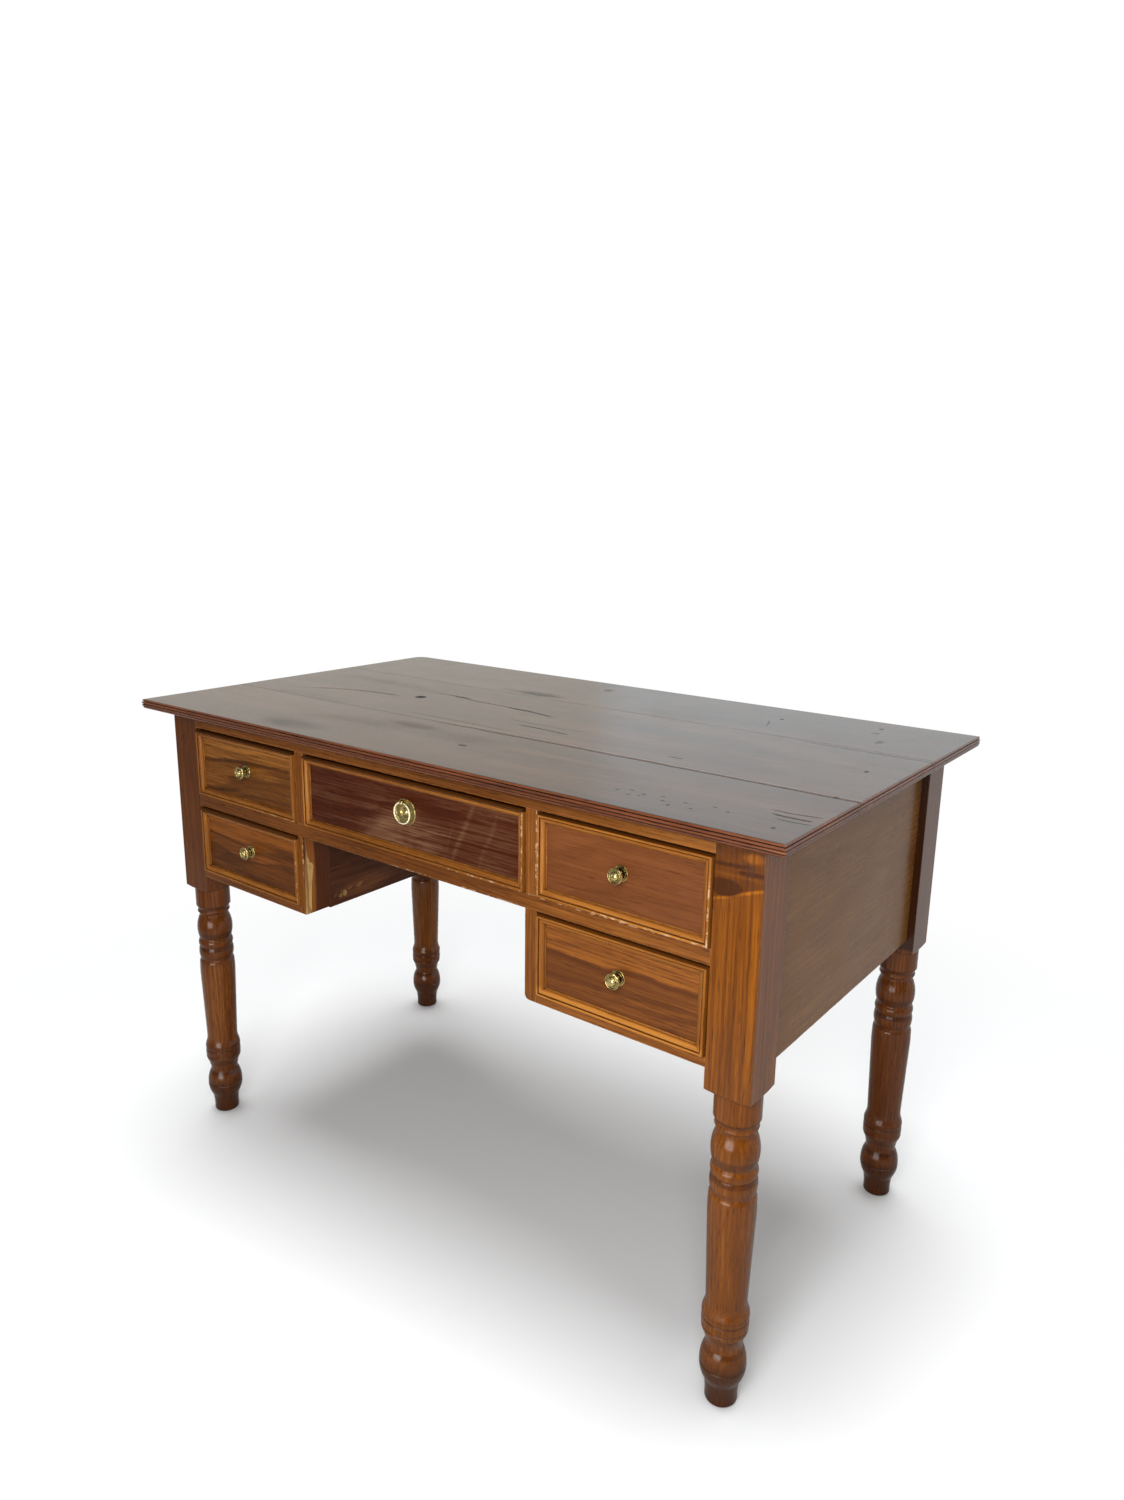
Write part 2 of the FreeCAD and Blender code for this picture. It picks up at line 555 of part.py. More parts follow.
def build_drawer(name, opening):
    """A dovetailed drawer with its bottom in grooves and a mitred beading on its front."""
    x0, x1 = inset(opening[0], opening[1], DRAWER_SIDE_PLAY)
    front_z = (opening[2] + DRAWER_FRONT_LIFT, opening[3] - DRAWER_TOP_PLAY)
    low = opening[2] + RUNNING_PLAY
    high = front_z[1] - DRAWER_SIDE_DROP
    inner_x = inset(x0, x1, DRAWER_SIDE_THICKNESS)
    shoulder = Y_FIELD + DRAWER_FRONT_THICKNESS
    end = Y_FACE + DRAWER_LENGTH
    back_y = (end - DRAWER_BACK_THICKNESS, end)
    floor = low + DRAWER_BOTTOM_RISE
    floor_top = floor + DRAWER_BOTTOM_THICKNESS
    back_top = high - DRAWER_BACK_DROP

    front = box((x0, x1), (Y_FIELD, shoulder), front_z)
    back = box((x0, x1), back_y, (floor_top, back_top))
    groove_z = (floor, floor_top + JOINT_PLAY)
    sides = []
    for outer, inner in ((x0, inner_x[0]), (x1, inner_x[1])):
        outer_x = (outer, inner)
        tails = dovetails(outer_x, shoulder, shoulder - DOVETAIL_LENGTH, front_z[0], high)
        rear_tails = dovetails(outer_x, back_y[0], back_y[1], floor_top, back_top)
        front = front.cut(Part.makeCompound(tails))
        back = back.cut(Part.makeCompound(rear_tails))
        side = box(outer_x, (shoulder, back_y[0]), (low, high))
        heel = box(outer_x, back_y, (low, floor_top))
        side = side.multiFuse([heel] + tails + rear_tails)
        depth = math.copysign(DRAWER_GROOVE_DEPTH, outer - inner)
        sides.append(side.cut(box((inner, inner + depth), (shoulder, end), groove_z)).removeSplitter())
    front = front.cut(box(inner_x, (shoulder - DRAWER_GROOVE_DEPTH, shoulder), groove_z))
    tongue = DRAWER_GROOVE_DEPTH - JOINT_PLAY
    bottom = box(inset(inner_x[0], inner_x[1], -tongue), (shoulder, end), (floor, floor_top))
    bottom = bottom.fuse(box(inner_x, (shoulder - tongue, shoulder), (floor, floor_top))).removeSplitter()

    corners = [V(x0, Y_FIELD, front_z[0]), V(x1, Y_FIELD, front_z[0]),
               V(x1, Y_FIELD, front_z[1]), V(x0, Y_FIELD, front_z[1])]
    turns = (V(1, 0, 0), V(0, 0, 1), V(-1, 0, 0), V(0, 0, -1))
    strips = []
    for count, corner in enumerate(corners):
        length = corner.distanceToPoint(corners[(count + 1) % len(corners)])
        strips.append(mitred_strip(corner, turns[count], turns[(count + 1) % len(turns)], length))

    pieces[name + "_front"] = front
    pieces[name + "_sides"] = Part.makeCompound(sides)
    pieces[name + "_back"] = back
    pieces[name + "_bottom"] = bottom
    pieces[name + "_beading"] = Part.makeCompound(strips)
    return (x0 + x1) / 2, (front_z[0] + front_z[1]) / 2


def shank_and_nut():
    """A threaded shank through the drawer front, and the nut on its inner face."""
    reach = DRAWER_FRONT_THICKNESS + NUT_THICKNESS
    shank = Part.makeCylinder(SHANK_DIAMETER / 2, reach, V(0, 0, -reach))
    radius = NUT_WIDTH / 2 / math.cos(math.pi / 6)
    turn = [math.radians(60 * side) for side in range(6)]
    points = [V(radius * math.cos(a), radius * math.sin(a), -reach) for a in turn]
    hole = Part.makeCylinder(SHANK_DIAMETER / 2 + JOINT_PLAY, reach, V(0, 0, -reach))
    return shank, prism(points, V(0, 0, NUT_THICKNESS)).cut(hole)


def drill(node, x, z):
    """The hole for a shank through a drawer front."""
    hole = Part.makeCylinder(SHANK_DIAMETER / 2 + JOINT_PLAY, DRAWER_FRONT_THICKNESS,
                             V(x, Y_FIELD, z), V(0, 1, 0))
    pieces[node] = pieces[node].cut(hole)


def build_knob(name, x, z):
    """A turned brass knob on a round rose, held by a nut inside the drawer."""
    shank, nut = shank_and_nut()
    stem = Part.makeCylinder(SHANK_DIAMETER / 2, ROSE_THICKNESS)
    head = turned(KNOB_SHARES, KNOB_DIAMETER / 2, KNOB_REACH - ROSE_THICKNESS)
    knob = head.translated(V(0, 0, ROSE_THICKNESS)).multiFuse([stem, shank]).removeSplitter()
    hole = Part.makeCylinder(SHANK_DIAMETER / 2 + JOINT_PLAY, ROSE_THICKNESS)
    rose = turned(ROSE_SHARES, ROSE_DIAMETER / 2, ROSE_THICKNESS).cut(hole)
    drill(name + "_front", x, z)
    solids = [facing_front(solid, x, Y_FIELD, z) for solid in (knob, rose, nut)]
    pieces[name + "_knob"] = Part.makeCompound(solids)


def build_ring_pull(name, x, z):
    """A turned plate, an eye post near its rim, and a ring that hangs and swings in the eye."""
    ring_radius = (RING_DIAMETER - RING_WIRE) / 2
    pivot = z + ring_radius
    shank, nut = shank_and_nut()
    dish = PLATE_HEIGHT * PLATE_DISH_SHARE
    post = Part.makeCylinder(POST_DIAMETER / 2, RING_REACH - dish, V(0, 0, dish))
    stem = Part.makeCylinder(SHANK_DIAMETER / 2, dish)
    eye = Part.makeSphere(EYE_DIAMETER / 2, V(0, 0, RING_REACH))
    hole = Part.makeCylinder(RING_WIRE / 2 + EYE_PLAY, EYE_DIAMETER,
                             V(-EYE_DIAMETER / 2, 0, RING_REACH), V(1, 0, 0))
    post = post.multiFuse([stem, shank, eye]).cut(hole).removeSplitter()
    plate = turned(PLATE_SHARES, PLATE_DIAMETER / 2, PLATE_HEIGHT)
    plate = facing_front(plate, x, Y_FIELD, z)
    stem_hole = Part.makeCylinder(SHANK_DIAMETER / 2 + JOINT_PLAY, PLATE_HEIGHT,
                                  V(x, Y_FIELD, pivot), OUTWARD)
    drill(name + "_front", x, pivot)
    pieces[name + "_pull_plate"] = plate.cut(stem_hole)
    solids = [facing_front(solid, x, Y_FIELD, pivot) for solid in (post, nut)]
    pieces[name + "_pull_post"] = Part.makeCompound(solids)
    pieces[name + "_pull_ring"] = Part.makeTorus(ring_radius, RING_WIRE / 2,
                                                 V(x, Y_FIELD - RING_REACH, z), OUTWARD)


build_legs()
build_rails()
build_panels()
build_top()
build_fixings(build_runners())
for name, opening in openings().items():
    x, z = build_drawer(name, opening)
    if name == "centre":
        build_ring_pull(name, x, z + RING_RISE)
    else:
        build_knob(name, x, z + KNOB_RISE)

os.makedirs("parts", exist_ok=True)
for node, shape in pieces.items():
    shape.exportStep("parts/%s.step" % node)
    print("%-24s solids %2d  valid %s  volume %.1f cm3" % (
        node, len(shape.Solids), shape.isValid(), shape.Volume / 10 ** 3))
print(len(pieces), "nodes")
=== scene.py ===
# %% [markdown]
# # A waxed writing desk with five drawers
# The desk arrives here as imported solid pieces, in metres, standing on the floor with its drawers facing -Y.
# This lesson dresses it: a camera, a pale studio, then one finish at a time for the old wood and the brass.
# The pieces themselves are never moved, because their places are already right.

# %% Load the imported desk
import bmesh
import bpy
import math
from mathutils import Matrix, Vector


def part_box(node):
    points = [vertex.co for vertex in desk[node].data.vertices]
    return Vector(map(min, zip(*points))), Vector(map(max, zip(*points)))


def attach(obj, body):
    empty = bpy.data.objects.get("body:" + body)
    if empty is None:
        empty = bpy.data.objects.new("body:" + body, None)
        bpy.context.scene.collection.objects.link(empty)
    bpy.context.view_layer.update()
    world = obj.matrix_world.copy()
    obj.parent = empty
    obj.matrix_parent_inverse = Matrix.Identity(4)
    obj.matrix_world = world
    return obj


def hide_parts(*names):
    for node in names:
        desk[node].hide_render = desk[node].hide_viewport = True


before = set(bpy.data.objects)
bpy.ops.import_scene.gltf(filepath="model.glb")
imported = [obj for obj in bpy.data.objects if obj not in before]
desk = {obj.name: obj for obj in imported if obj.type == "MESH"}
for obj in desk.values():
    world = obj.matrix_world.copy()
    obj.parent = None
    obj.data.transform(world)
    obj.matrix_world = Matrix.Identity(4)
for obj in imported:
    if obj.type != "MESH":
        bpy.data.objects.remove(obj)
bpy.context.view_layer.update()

# %% [markdown]
# ## Camera
# The photograph was taken at the right-hand front corner, from a little above the top. The camera could be
# turned by eye, but it was solved from the straight edges of the desk, so it is written here as the eye's
# place and three angles.

# %% Stand the camera
EYE = Vector((1.0388, -1.2920, 1.1318))
YAW, PITCH, ROLL = (math.radians(angle) for angle in (37.379, 13.655, 0.835))
FOCAL_PIXELS = 1046.6
LONG_SIDE_PIXELS = 1500
SENSOR_MM = 36.0


def put(name, data):
    """A new object in the scene."""
    thing = bpy.data.objects.new(name, data)
    bpy.context.scene.collection.objects.link(thing)
    return thing


ahead = Vector((-math.sin(YAW) * math.cos(PITCH), math.cos(YAW) * math.cos(PITCH), -math.sin(PITCH)))
level = Vector((math.cos(YAW), math.sin(YAW), 0))
upward = level.cross(ahead)
right = level * math.cos(ROLL) + upward * math.sin(ROLL)
above = upward * math.cos(ROLL) - level * math.sin(ROLL)

camera = put("camera", bpy.data.cameras.new("camera"))
camera.matrix_world = Matrix.Translation(EYE) @ Matrix((right, above, -ahead)).transposed().to_4x4()
camera.data.sensor_width = SENSOR_MM
camera.data.lens = FOCAL_PIXELS * SENSOR_MM / LONG_SIDE_PIXELS
camera.data.clip_end = 100
bpy.context.scene.camera = camera
bpy.context.scene.view_settings.view_transform = "Standard"
print("lens", round(camera.data.lens, 2), "mm at", [round(c, 3) for c in EYE])

# %% [markdown]
# ## A bench for node trees
# Every finish below is a tree of shader nodes. Adding a node by hand takes four lines, so a small bench keeps
# the tree and gives each common step one short name. A value can be a plain number or the output of an
# earlier step.

# %% The bench
class Bench:
    """One node tree, with short ways to add nodes and join them."""

    def __init__(self, tree):
        self.tree = tree
        self.tree.nodes.clear()

    def add(self, kind, inputs=None, out=0, **settings):
        node = self.tree.nodes.new(kind)
        for name, value in settings.items():
            setattr(node, name, value)
        for key, value in (inputs or {}).items():
            if isinstance(value, bpy.types.NodeSocket):
                self.tree.links.new(value, node.inputs[key])
            else:
                node.inputs[key].default_value = value
        return node.outputs[out] if node.outputs else node

    def calc(self, operation, *values):
        return self.add("ShaderNodeMath", dict(enumerate(values)), operation=operation)

    def times(self, one, other):
        return self.calc("MULTIPLY", one, other)

    def minus(self, value, less):
        return self.calc("SUBTRACT", value, less)

    def weigh(self, value, share, base):
        """A share of the value, added to a base."""
        return self.calc("MULTIPLY_ADD", value, share, base)

    def spread(self, value, low, high, to_low=0.0, to_high=1.0, soft=True):
        """Stretches low..high to a new range, and clips what lies outside."""
        return self.add("ShaderNodeMapRange", {0: value, 1: low, 2: high, 3: to_low, 4: to_high},
                        interpolation_type="SMOOTHSTEP" if soft else "LINEAR")

    def tint(self, share, under, over):
        """The first colour where share is 0, the second where it is 1."""
        return self.add("ShaderNodeMix", {0: share, 6: under, 7: over}, out=2, data_type="RGBA")

    def noise(self, place, scale, detail=2.0, roughness=0.5):
        """Soft clouds; scale says how many there are to a metre along each axis."""
        scaled = self.add("ShaderNodeVectorMath", {0: place, 1: scale}, operation="MULTIPLY")
        settings = {"Vector": scaled, "Scale": 1.0, "Detail": detail, "Roughness": roughness}
        return self.add("ShaderNodeTexNoise", settings)

    def parts(self, place):
        return self.add("ShaderNodeSeparateXYZ", {0: place}).node.outputs

    def gather(self, x, y, z):
        return self.add("ShaderNodeCombineXYZ", {0: x, 1: y, 2: z})

    def length(self, x, y):
        return self.add("ShaderNodeVectorMath", {0: self.gather(x, y, 0.0)}, out="Value", operation="LENGTH")

    def drawn(self, share, points):
        """A curve drawn through the given points; both ways it runs from 0 to 1."""
        curve = self.add("ShaderNodeFloatCurve", {"Value": share})
        line = curve.node.mapping.curves[0].points
        line[0].location, line[-1].location = points[0], points[-1]
        for point in points[1:-1]:
            line.new(*point)
        curve.node.mapping.update()
        return curve

    def ramp(self, share, tones):
        """From the dark tone at 0 over the middle one to the light one at 1."""
        colours = self.add("ShaderNodeValToRGB", {0: share})
        stops = colours.node.color_ramp.elements
        stops[0].color, stops[1].color = (*tones[0], 1), (*tones[2], 1)
        stops.new(0.5).color = (*tones[1], 1)
        return colours

    def facing(self, axis):
        """1 where the surface looks along the axis, either way, and 0 where it stands across it."""
        normal = self.parts(self.add("ShaderNodeNewGeometry", out="Normal"))
        return self.calc("ABSOLUTE", normal["xyz".index(axis)])

    def openness(self, reach):
        """1 in the open, less where the piece's own surface within reach shuts a place in."""
        return self.add("ShaderNodeAmbientOcclusion", {"Distance": reach}, out="AO", samples=6, only_local=True)


def new_material(name):
    """(a material, the bench of its node tree)."""
    material = bpy.data.materials.new(name)
    material.use_nodes = True
    return material, Bench(material.node_tree)


print("bench ready")

# %% [markdown]
# ## A pale studio
# The photograph has a white ground and one soft grey shadow under the desk. A curved backdrop could give that,
# but a flat floor that fades to plain white gives the same picture from every side. Most of the light falls
# from above, as in a room with a pale ceiling. A shiny surface is given a sky of its own: white behind the
# desk, dim on the photographer's side, with a skylight to the right, so wax and brass show some depth.

# %% Sky
ZENITH_LEVEL = 0.26
HORIZON_LEVEL = 0.16
DIM_SIDE = 0.2
SKYLIGHT_LEVEL = 3.5
WHITE = (1, 1, 1, 1)
SKY_TINT = (0.97, 0.98, 1.0, 1)
WARM_WALL, COOL_WALL = (0.78, 0.77, 0.71, 1), (0.89, 0.97, 1.0, 1)
WALL_CORNER = (-0.725, -0.675)
FRONT_TO_BACK = (-0.3, 0.25)
LOW_TO_HIGH, RISE_LEVELS = (0.15, 0.3), (0.91, 1.05)
SKYLIGHT_EAST, SKYLIGHT_RISE = (0.0, 0.5), (0.42, 0.6)


def kinds_of_ray(bench):
    """(1 for the camera's own rays, 1 for rays off a shiny or through a clear surface)."""
    rays = bench.add("ShaderNodeLightPath").node.outputs
    return rays["Is Camera Ray"], bench.calc("MAXIMUM", rays["Is Glossy Ray"], rays["Is Transmission Ray"])


sky = bpy.data.worlds.new("studio_sky")
bpy.context.scene.world = sky
sky.use_nodes = True
bench = Bench(sky.node_tree)
east, north, rise = bench.parts(bench.add("ShaderNodeTexCoord", out="Generated"))
glow = bench.spread(rise, 0.0, 1.0, HORIZON_LEVEL, ZENITH_LEVEL, soft=False)
soft_sky = bench.add("ShaderNodeBackground", {"Color": SKY_TINT, "Strength": glow})
wall = bench.tint(bench.spread(bench.calc("DIVIDE", east, north), *WALL_CORNER), WARM_WALL, COOL_WALL)
depth = bench.times(bench.spread(north, *FRONT_TO_BACK, DIM_SIDE, 1.0),
                    bench.spread(rise, *LOW_TO_HIGH, *RISE_LEVELS, soft=False))
skylight = bench.times(bench.spread(east, *SKYLIGHT_EAST, 0.0, SKYLIGHT_LEVEL),
                       bench.spread(rise, *SKYLIGHT_RISE))
depth = bench.calc("MAXIMUM", depth, skylight)
mirrored = bench.add("ShaderNodeBackground", {"Color": wall, "Strength": depth})
white = bench.add("ShaderNodeBackground", {"Color": WHITE, "Strength": 1.0})
by_camera, by_shine = kinds_of_ray(bench)
room = bench.add("ShaderNodeMixShader", {0: by_shine, 1: soft_sky, 2: mirrored})
bench.add("ShaderNodeOutputWorld", {0: bench.add("ShaderNodeMixShader", {0: by_camera, 1: room, 2: white})})
print("sky from", HORIZON_LEVEL, "to", ZENITH_LEVEL)

# %% [markdown]
# ## Lamps
# A broad sun overhead and one window by the photographer light the wood. Polished brass needs something bright
# to mirror, and a lamp strong enough for it would wash out the wood. So three panels are seen only in shine:
# a doorway by all that is glossy, and two small cards by the ring and by the knobs alone.

# %% Sun and lamps
OVERHEAD_LEVEL = 2.5
KEY_WATTS, MIRRORED_WATTS, RING_CARD_WATTS, KNOB_CARD_WATTS = 21.0, 19.0, 8.0, 1.5
SUN_SPREAD, SUN_LEAN = math.radians(36), math.radians(-3.5)

sun = put("overhead_light", bpy.data.lights.new("overhead_light", "SUN"))
sun.data.energy = OVERHEAD_LEVEL
sun.data.angle = SUN_SPREAD
sun.rotation_euler = (SUN_LEAN, SUN_LEAN, 0)


def panel_lamp(name, watts, size, place, target):
    """A rectangle of light that looks at the target."""
    lamp = put(name, bpy.data.lights.new(name, "AREA"))
    lamp.data.shape = "RECTANGLE"
    lamp.data.size, lamp.data.size_y = size
    lamp.data.energy = watts
    lamp.location = place
    lamp.rotation_euler = (Vector(target) - Vector(place)).to_track_quat("-Z", "Y").to_euler()
    return lamp


key = panel_lamp("window_light", KEY_WATTS, size=(0.80, 0.80),
                 place=(0.85, -1.45, 1.28), target=(0.3, -0.25, 0.55))
doorway = panel_lamp("mirrored_doorway", MIRRORED_WATTS, size=(1.3, 0.74),
                     place=(0.45, -2.2, 0.38), target=(0.45, 0.0, 0.38))
ring_card = panel_lamp("ring_card", RING_CARD_WATTS, size=(2.0, 0.58),
                       place=(-1.0, -1.2, 0.31), target=(-1.0, 0.0, 0.31))
knob_card = panel_lamp("knob_card", KNOB_CARD_WATTS, size=(0.5, 0.4),
                       place=(-1.2, -1.5, 0.38), target=(0.0, -0.3, 0.6))
key.visible_glossy = False
for lamp in (doorway, ring_card, knob_card):
    lamp.visible_diffuse = False
for lamp in (ring_card, knob_card):
    lamp.light_linking.receiver_collection = bpy.data.collections.new("lit_by_" + lamp.name)
for lamp in (sun, key, doorway, ring_card, knob_card):
    lamp.visible_camera = False
print("overhead", OVERHEAD_LEVEL, "window", KEY_WATTS, "W")

# %% [markdown]
# ## Floor
# The floor has to catch the shadow and then vanish. Near the desk it is a matt pale sheet; farther off it turns
# into plain white. Light that bounces from it to the wood is held lower, or the legs would glow from below.

# %% Floor
FLOOR_HALF = 30.0
FLOOR_SEEN, FLOOR_BOUNCE = (0.885, 0.895, 0.90, 1), (0.46, 0.45, 0.43, 1)
FLOOR_SHINE = 0.6
FLOOR_DIM, FLOOR_FADE = (-1.4, -0.3), (0.75, 1.7)

floor_mesh = bpy.data.meshes.new("floor")
corners = [(FLOOR_HALF * x, FLOOR_HALF * y, 0) for x, y in ((-1, -1), (1, -1), (1, 1), (-1, 1))]
floor_mesh.from_pydata(corners, [], [(0, 1, 2, 3)])
floor = put("floor", floor_mesh)
paper, bench = new_material("white_floor")
x, y, _ = bench.parts(bench.add("ShaderNodeTexCoord", out="Object"))
by_camera, by_shine = kinds_of_ray(bench)
seen = bench.calc("MAXIMUM", by_camera, by_shine)
lit = bench.add("ShaderNodeBsdfDiffuse", {"Color": bench.tint(by_camera, FLOOR_BOUNCE, FLOOR_SEEN)})
dim = bench.calc("MAXIMUM", by_camera, bench.spread(y, *FLOOR_DIM, DIM_SIDE, FLOOR_SHINE))
blank = bench.add("ShaderNodeEmission", {"Color": WHITE, "Strength": dim})
away = bench.times(bench.spread(bench.length(x, y), *FLOOR_FADE), seen)
bench.add("ShaderNodeOutputMaterial", {0: bench.add("ShaderNodeMixShader", {0: away, 1: lit, 2: blank})})
floor_mesh.materials.append(paper)
print("floor", 2 * FLOOR_HALF, "m wide")

# %% [markdown]
# ## Old wood
# All the wood on this desk is one family: growth rings cut by the saw, fine fibres and pores, broad light and
# dark patches, and a wax finish. A picture of wood could be wrapped on, but it would repeat and stretch. Here
# each board is a slice of a trunk: the colour comes from the distance to the trunk's middle, so end grain,
# faces and turnings agree.

# %% Where a point lies in the trunk
TRUNK_LENGTH = 11.0
DRIFT_SCALE, RIPPLE_SCALE = (1.6, 9, 9), (9, 60, 60)
LATE_RISE, LATE_FALL = (0.15, 0.8), (1.0, 0.86)
FAINTEST_YEAR = 0.15


def in_the_trunk(bench, along):
    """The point in metres with x along the grain, plain and moved to this board's own place in the trunk.
    along is an axis, or the (middle, half size) of a mitred frame whose strips each have their own grain."""
    x, y, z = bench.parts(bench.add("ShaderNodeTexCoord", out="Object"))
    if isinstance(along, str):
        turned = bench.gather(*{"x": (x, y, z), "y": (y, z, x), "z": (z, x, y)}[along])
    else:
        middle, half = along
        from_side = bench.minus(half.x, bench.calc("ABSOLUTE", bench.minus(x, middle.x)))
        from_end = bench.minus(half.z, bench.calc("ABSOLUTE", bench.minus(z, middle.z)))
        upright = bench.calc("LESS_THAN", from_side, from_end)
        turned = bench.add("ShaderNodeMix", {0: upright, 4: bench.gather(x, y, z), 5: bench.gather(z, y, x)},
                           out=1, data_type="VECTOR")
    luck = bench.add("ShaderNodeObjectInfo", out="Random")
    shift = bench.gather(bench.times(luck, TRUNK_LENGTH), 0.0, 0.0)
    return turned, bench.add("ShaderNodeVectorMath", {0: turned, 1: shift}, operation="ADD")


def growth_rings(bench, straight, grain, rings):
    """Dark late wood: 0 between the rings, up to 1 on them. rings says where the trunk's pith lies beside the
    board, how it leans, and how wide and how restless the rings are."""
    drift = bench.noise(grain, DRIFT_SCALE, 2.0)
    ripple = bench.noise(grain, RIPPLE_SCALE, 2.0)
    u, v, w = bench.parts(straight)
    lean_v = bench.weigh(u, rings["lean"][0], bench.minus(v, rings["pith"][0]))
    lean_w = bench.weigh(u, rings["lean"][1], bench.minus(w, rings["pith"][1]))
    radius = bench.weigh(drift, rings["drift"], bench.length(lean_v, lean_w))
    radius = bench.weigh(ripple, rings["ripple"], radius)
    count = bench.calc("DIVIDE", radius, rings["width"])
    late = bench.calc("FRACT", count)
    late = bench.times(bench.spread(late, *LATE_RISE), bench.spread(late, *LATE_FALL))
    year = bench.add("ShaderNodeTexWhiteNoise", {"W": bench.calc("FLOOR", count)}, noise_dimensions="1D")
    return bench.times(late, bench.spread(year, 0.0, 1.0, FAINTEST_YEAR, 1.0, soft=False))


print("wood helpers ready")

# %% [markdown]
# ## Marks drawn on a board
# Some figure belongs to one board only: a dark streak, a knot, an old crack, a lighter flame. Left to chance,
# no drawer would look like the one in the photograph. So each is drawn as a line or a spot, in millimetres on
# the face of its board, and turned into a soft mask.

# %% Lines and spots
MM = 0.001
LINE_ENDS = 0.2
SPOT_CORE = 0.4


def line_height(bench, run, points):
    """(how far along the drawn line, from 0 to 1; the line's height there in metres)."""
    runs, sides = zip(*points)
    low, high = min(sides), max(sides) + 1.0
    share = bench.spread(run, runs[0] * MM, runs[-1] * MM, soft=False)
    drawn = [((r - runs[0]) / (runs[-1] - runs[0]), (s - low) / (high - low)) for r, s in points]
    return share, bench.weigh(bench.drawn(share, drawn), (high - low) * MM, low * MM)


def streak(bench, run, side, points, width):
    """1 on the drawn line, 0 at width from it and beyond its ends."""
    share, height = line_height(bench, run, points)
    off = bench.calc("ABSOLUTE", bench.minus(side, height))
    ends = bench.times(bench.spread(share, 0.0, LINE_ENDS), bench.spread(share, 1.0, 1.0 - LINE_ENDS))
    return bench.times(bench.spread(off, width * MM, 0.0), ends)


def over(bench, run, side, points, width):
    """1 above the drawn line, 0 below it."""
    height = line_height(bench, run, points)[1]
    return bench.spread(bench.minus(side, height), -width * MM, width * MM)


def spot(bench, run, side, points, width):
    """1 inside an oval given by its middle and its half sizes, 0 at width times that size."""
    (run_0, side_0), (half_run, half_side) = points
    off_run = bench.calc("DIVIDE", bench.minus(run, run_0 * MM), half_run * MM)
    off_side = bench.calc("DIVIDE", bench.minus(side, side_0 * MM), half_side * MM)
    return bench.spread(bench.length(off_run, off_side), width, SPOT_CORE)


def belt(bench, run, side, points, width):
    """1 between two places along the run, all round the piece, whatever the side."""
    low, high = points
    after = bench.spread(run, (low - width) * MM, (low + width) * MM)
    return bench.times(after, bench.spread(run, (high + width) * MM, (high - width) * MM))


print("shapes ready")

# %% All marks on a face
SWAY_SCALE = (22, 22, 22)
FACE_ON = (0.5, 0.8)


def drawn_marks(bench, place, plane, marks, wander):
    """The sum of all marks on one face; lines wander a little, as drawn by growth and not by a ruler.
    plane names the axis a line runs along and the axis across it, or one axis only for belts."""
    sides = dict(zip("xyz", bench.parts(place)))
    sway = bench.noise(place, SWAY_SCALE, 3.0)
    run = sides[plane[0]]
    side = bench.weigh(bench.minus(sway, 0.5), wander * MM, sides[plane[-1]])
    total = 0.0
    for shape, points, width, strength in marks:
        total = bench.weigh(shape(bench, run, side, points, width), strength, total)
    if len(plane) == 1:
        return total
    outward = bench.facing(next(axis for axis in "xyz" if axis not in plane))
    return bench.times(total, bench.spread(outward, *FACE_ON))


print("marks ready")

# %% [markdown]
# ## Wear, dirt, painted shade and shine
# On an old desk the corners are rubbed pale and the inner corners are dark; here that dark is painted shade,
# with some dirt. Both could be painted by hand, but the shader can find them: near a corner the rounded normal
# of a bevel node turns away from the flat one, and an occlusion node tells where the surface is shut in. The
# bevel also softens every arris.

# %% Worn corners, and painted shade with dirt in hollows
PATCHY_SCALE = (70, 70, 70)
RUBBED_TURN, PATCHY_EDGE = (0.99, 0.75), (0.62, 0.72)
HOLLOW_REACH = 0.007
OPEN_TO_SHUT = (0.92, 0.45)


def worn_corners(bench, reach, patchy, place):
    """(mask of rubbed corners, softened normal)."""
    soft = bench.add("ShaderNodeBevel", {"Radius": reach}, samples=6)
    flat = bench.add("ShaderNodeNewGeometry", out="Normal")
    facing = bench.add("ShaderNodeVectorMath", {0: soft, 1: flat}, out="Value", operation="DOT_PRODUCT")
    patches = bench.noise(place, PATCHY_SCALE, 3.0, 0.6)
    rubbed = bench.spread(facing, *RUBBED_TURN)
    return bench.times(rubbed, bench.spread(patches, *(edge - patchy for edge in PATCHY_EDGE))), soft


def shade_and_dirt_in_hollows(bench):
    """Painted shade, with some dirt: a mask that is 1 deep in a corner and 0 in the open."""
    return bench.spread(bench.openness(HOLLOW_REACH), *OPEN_TO_SHUT)


print("wear helpers ready")

# %% [markdown]
# ## The waxed wood finish
# One finish serves every board, with its own tones and marks. The patterns are added up to a single number, and
# a dark, a middle and a light colour are laid along it. A fixed colour for each pattern would be simpler, but
# the streaks would look painted on. Each scale is given along the grain, then across it.

# %% The waxed wood finish
FIBRE_SCALE, BAND_SCALE = (6, 300, 300), (5, 150, 150)
PORE_SCALE, PATCH_SCALE = (30, 1100, 1100), (2.6, 17, 17)
SMEAR_SCALE, FLAKE_SCALE = (9, 9, 9), (110, 110, 110)
PORE_EDGE, FLAKE_EDGE, UPRIGHT_EDGE = (0.58, 0.72), (0.50, 0.58), (0.85, 0.5)
FIGURE_BY_FIBRE, GLOSS_SPAN = (0.3, 0.7, 0.55, 1.25), (0.45, 0.95)
RIM_DULLER, GAP_SHADE_DULLER, CUT_DULLER = 0.09, 0.3, -0.5
GAP_SHADE_EDGE = 0.0006
# How dark the painted shade is, as a share of the darkest tone: in hollows, with dirt, and in the gap over a
# drawer.
SHADE_AND_DIRT_TONE = 0.25
PATCHY_BY_WEAR = 0.25
CHIP_WANDER = 1.5
GRAIN_DEPTH, RING_SUNK, PORE_SUNK = 0.0003, -0.4, -0.5


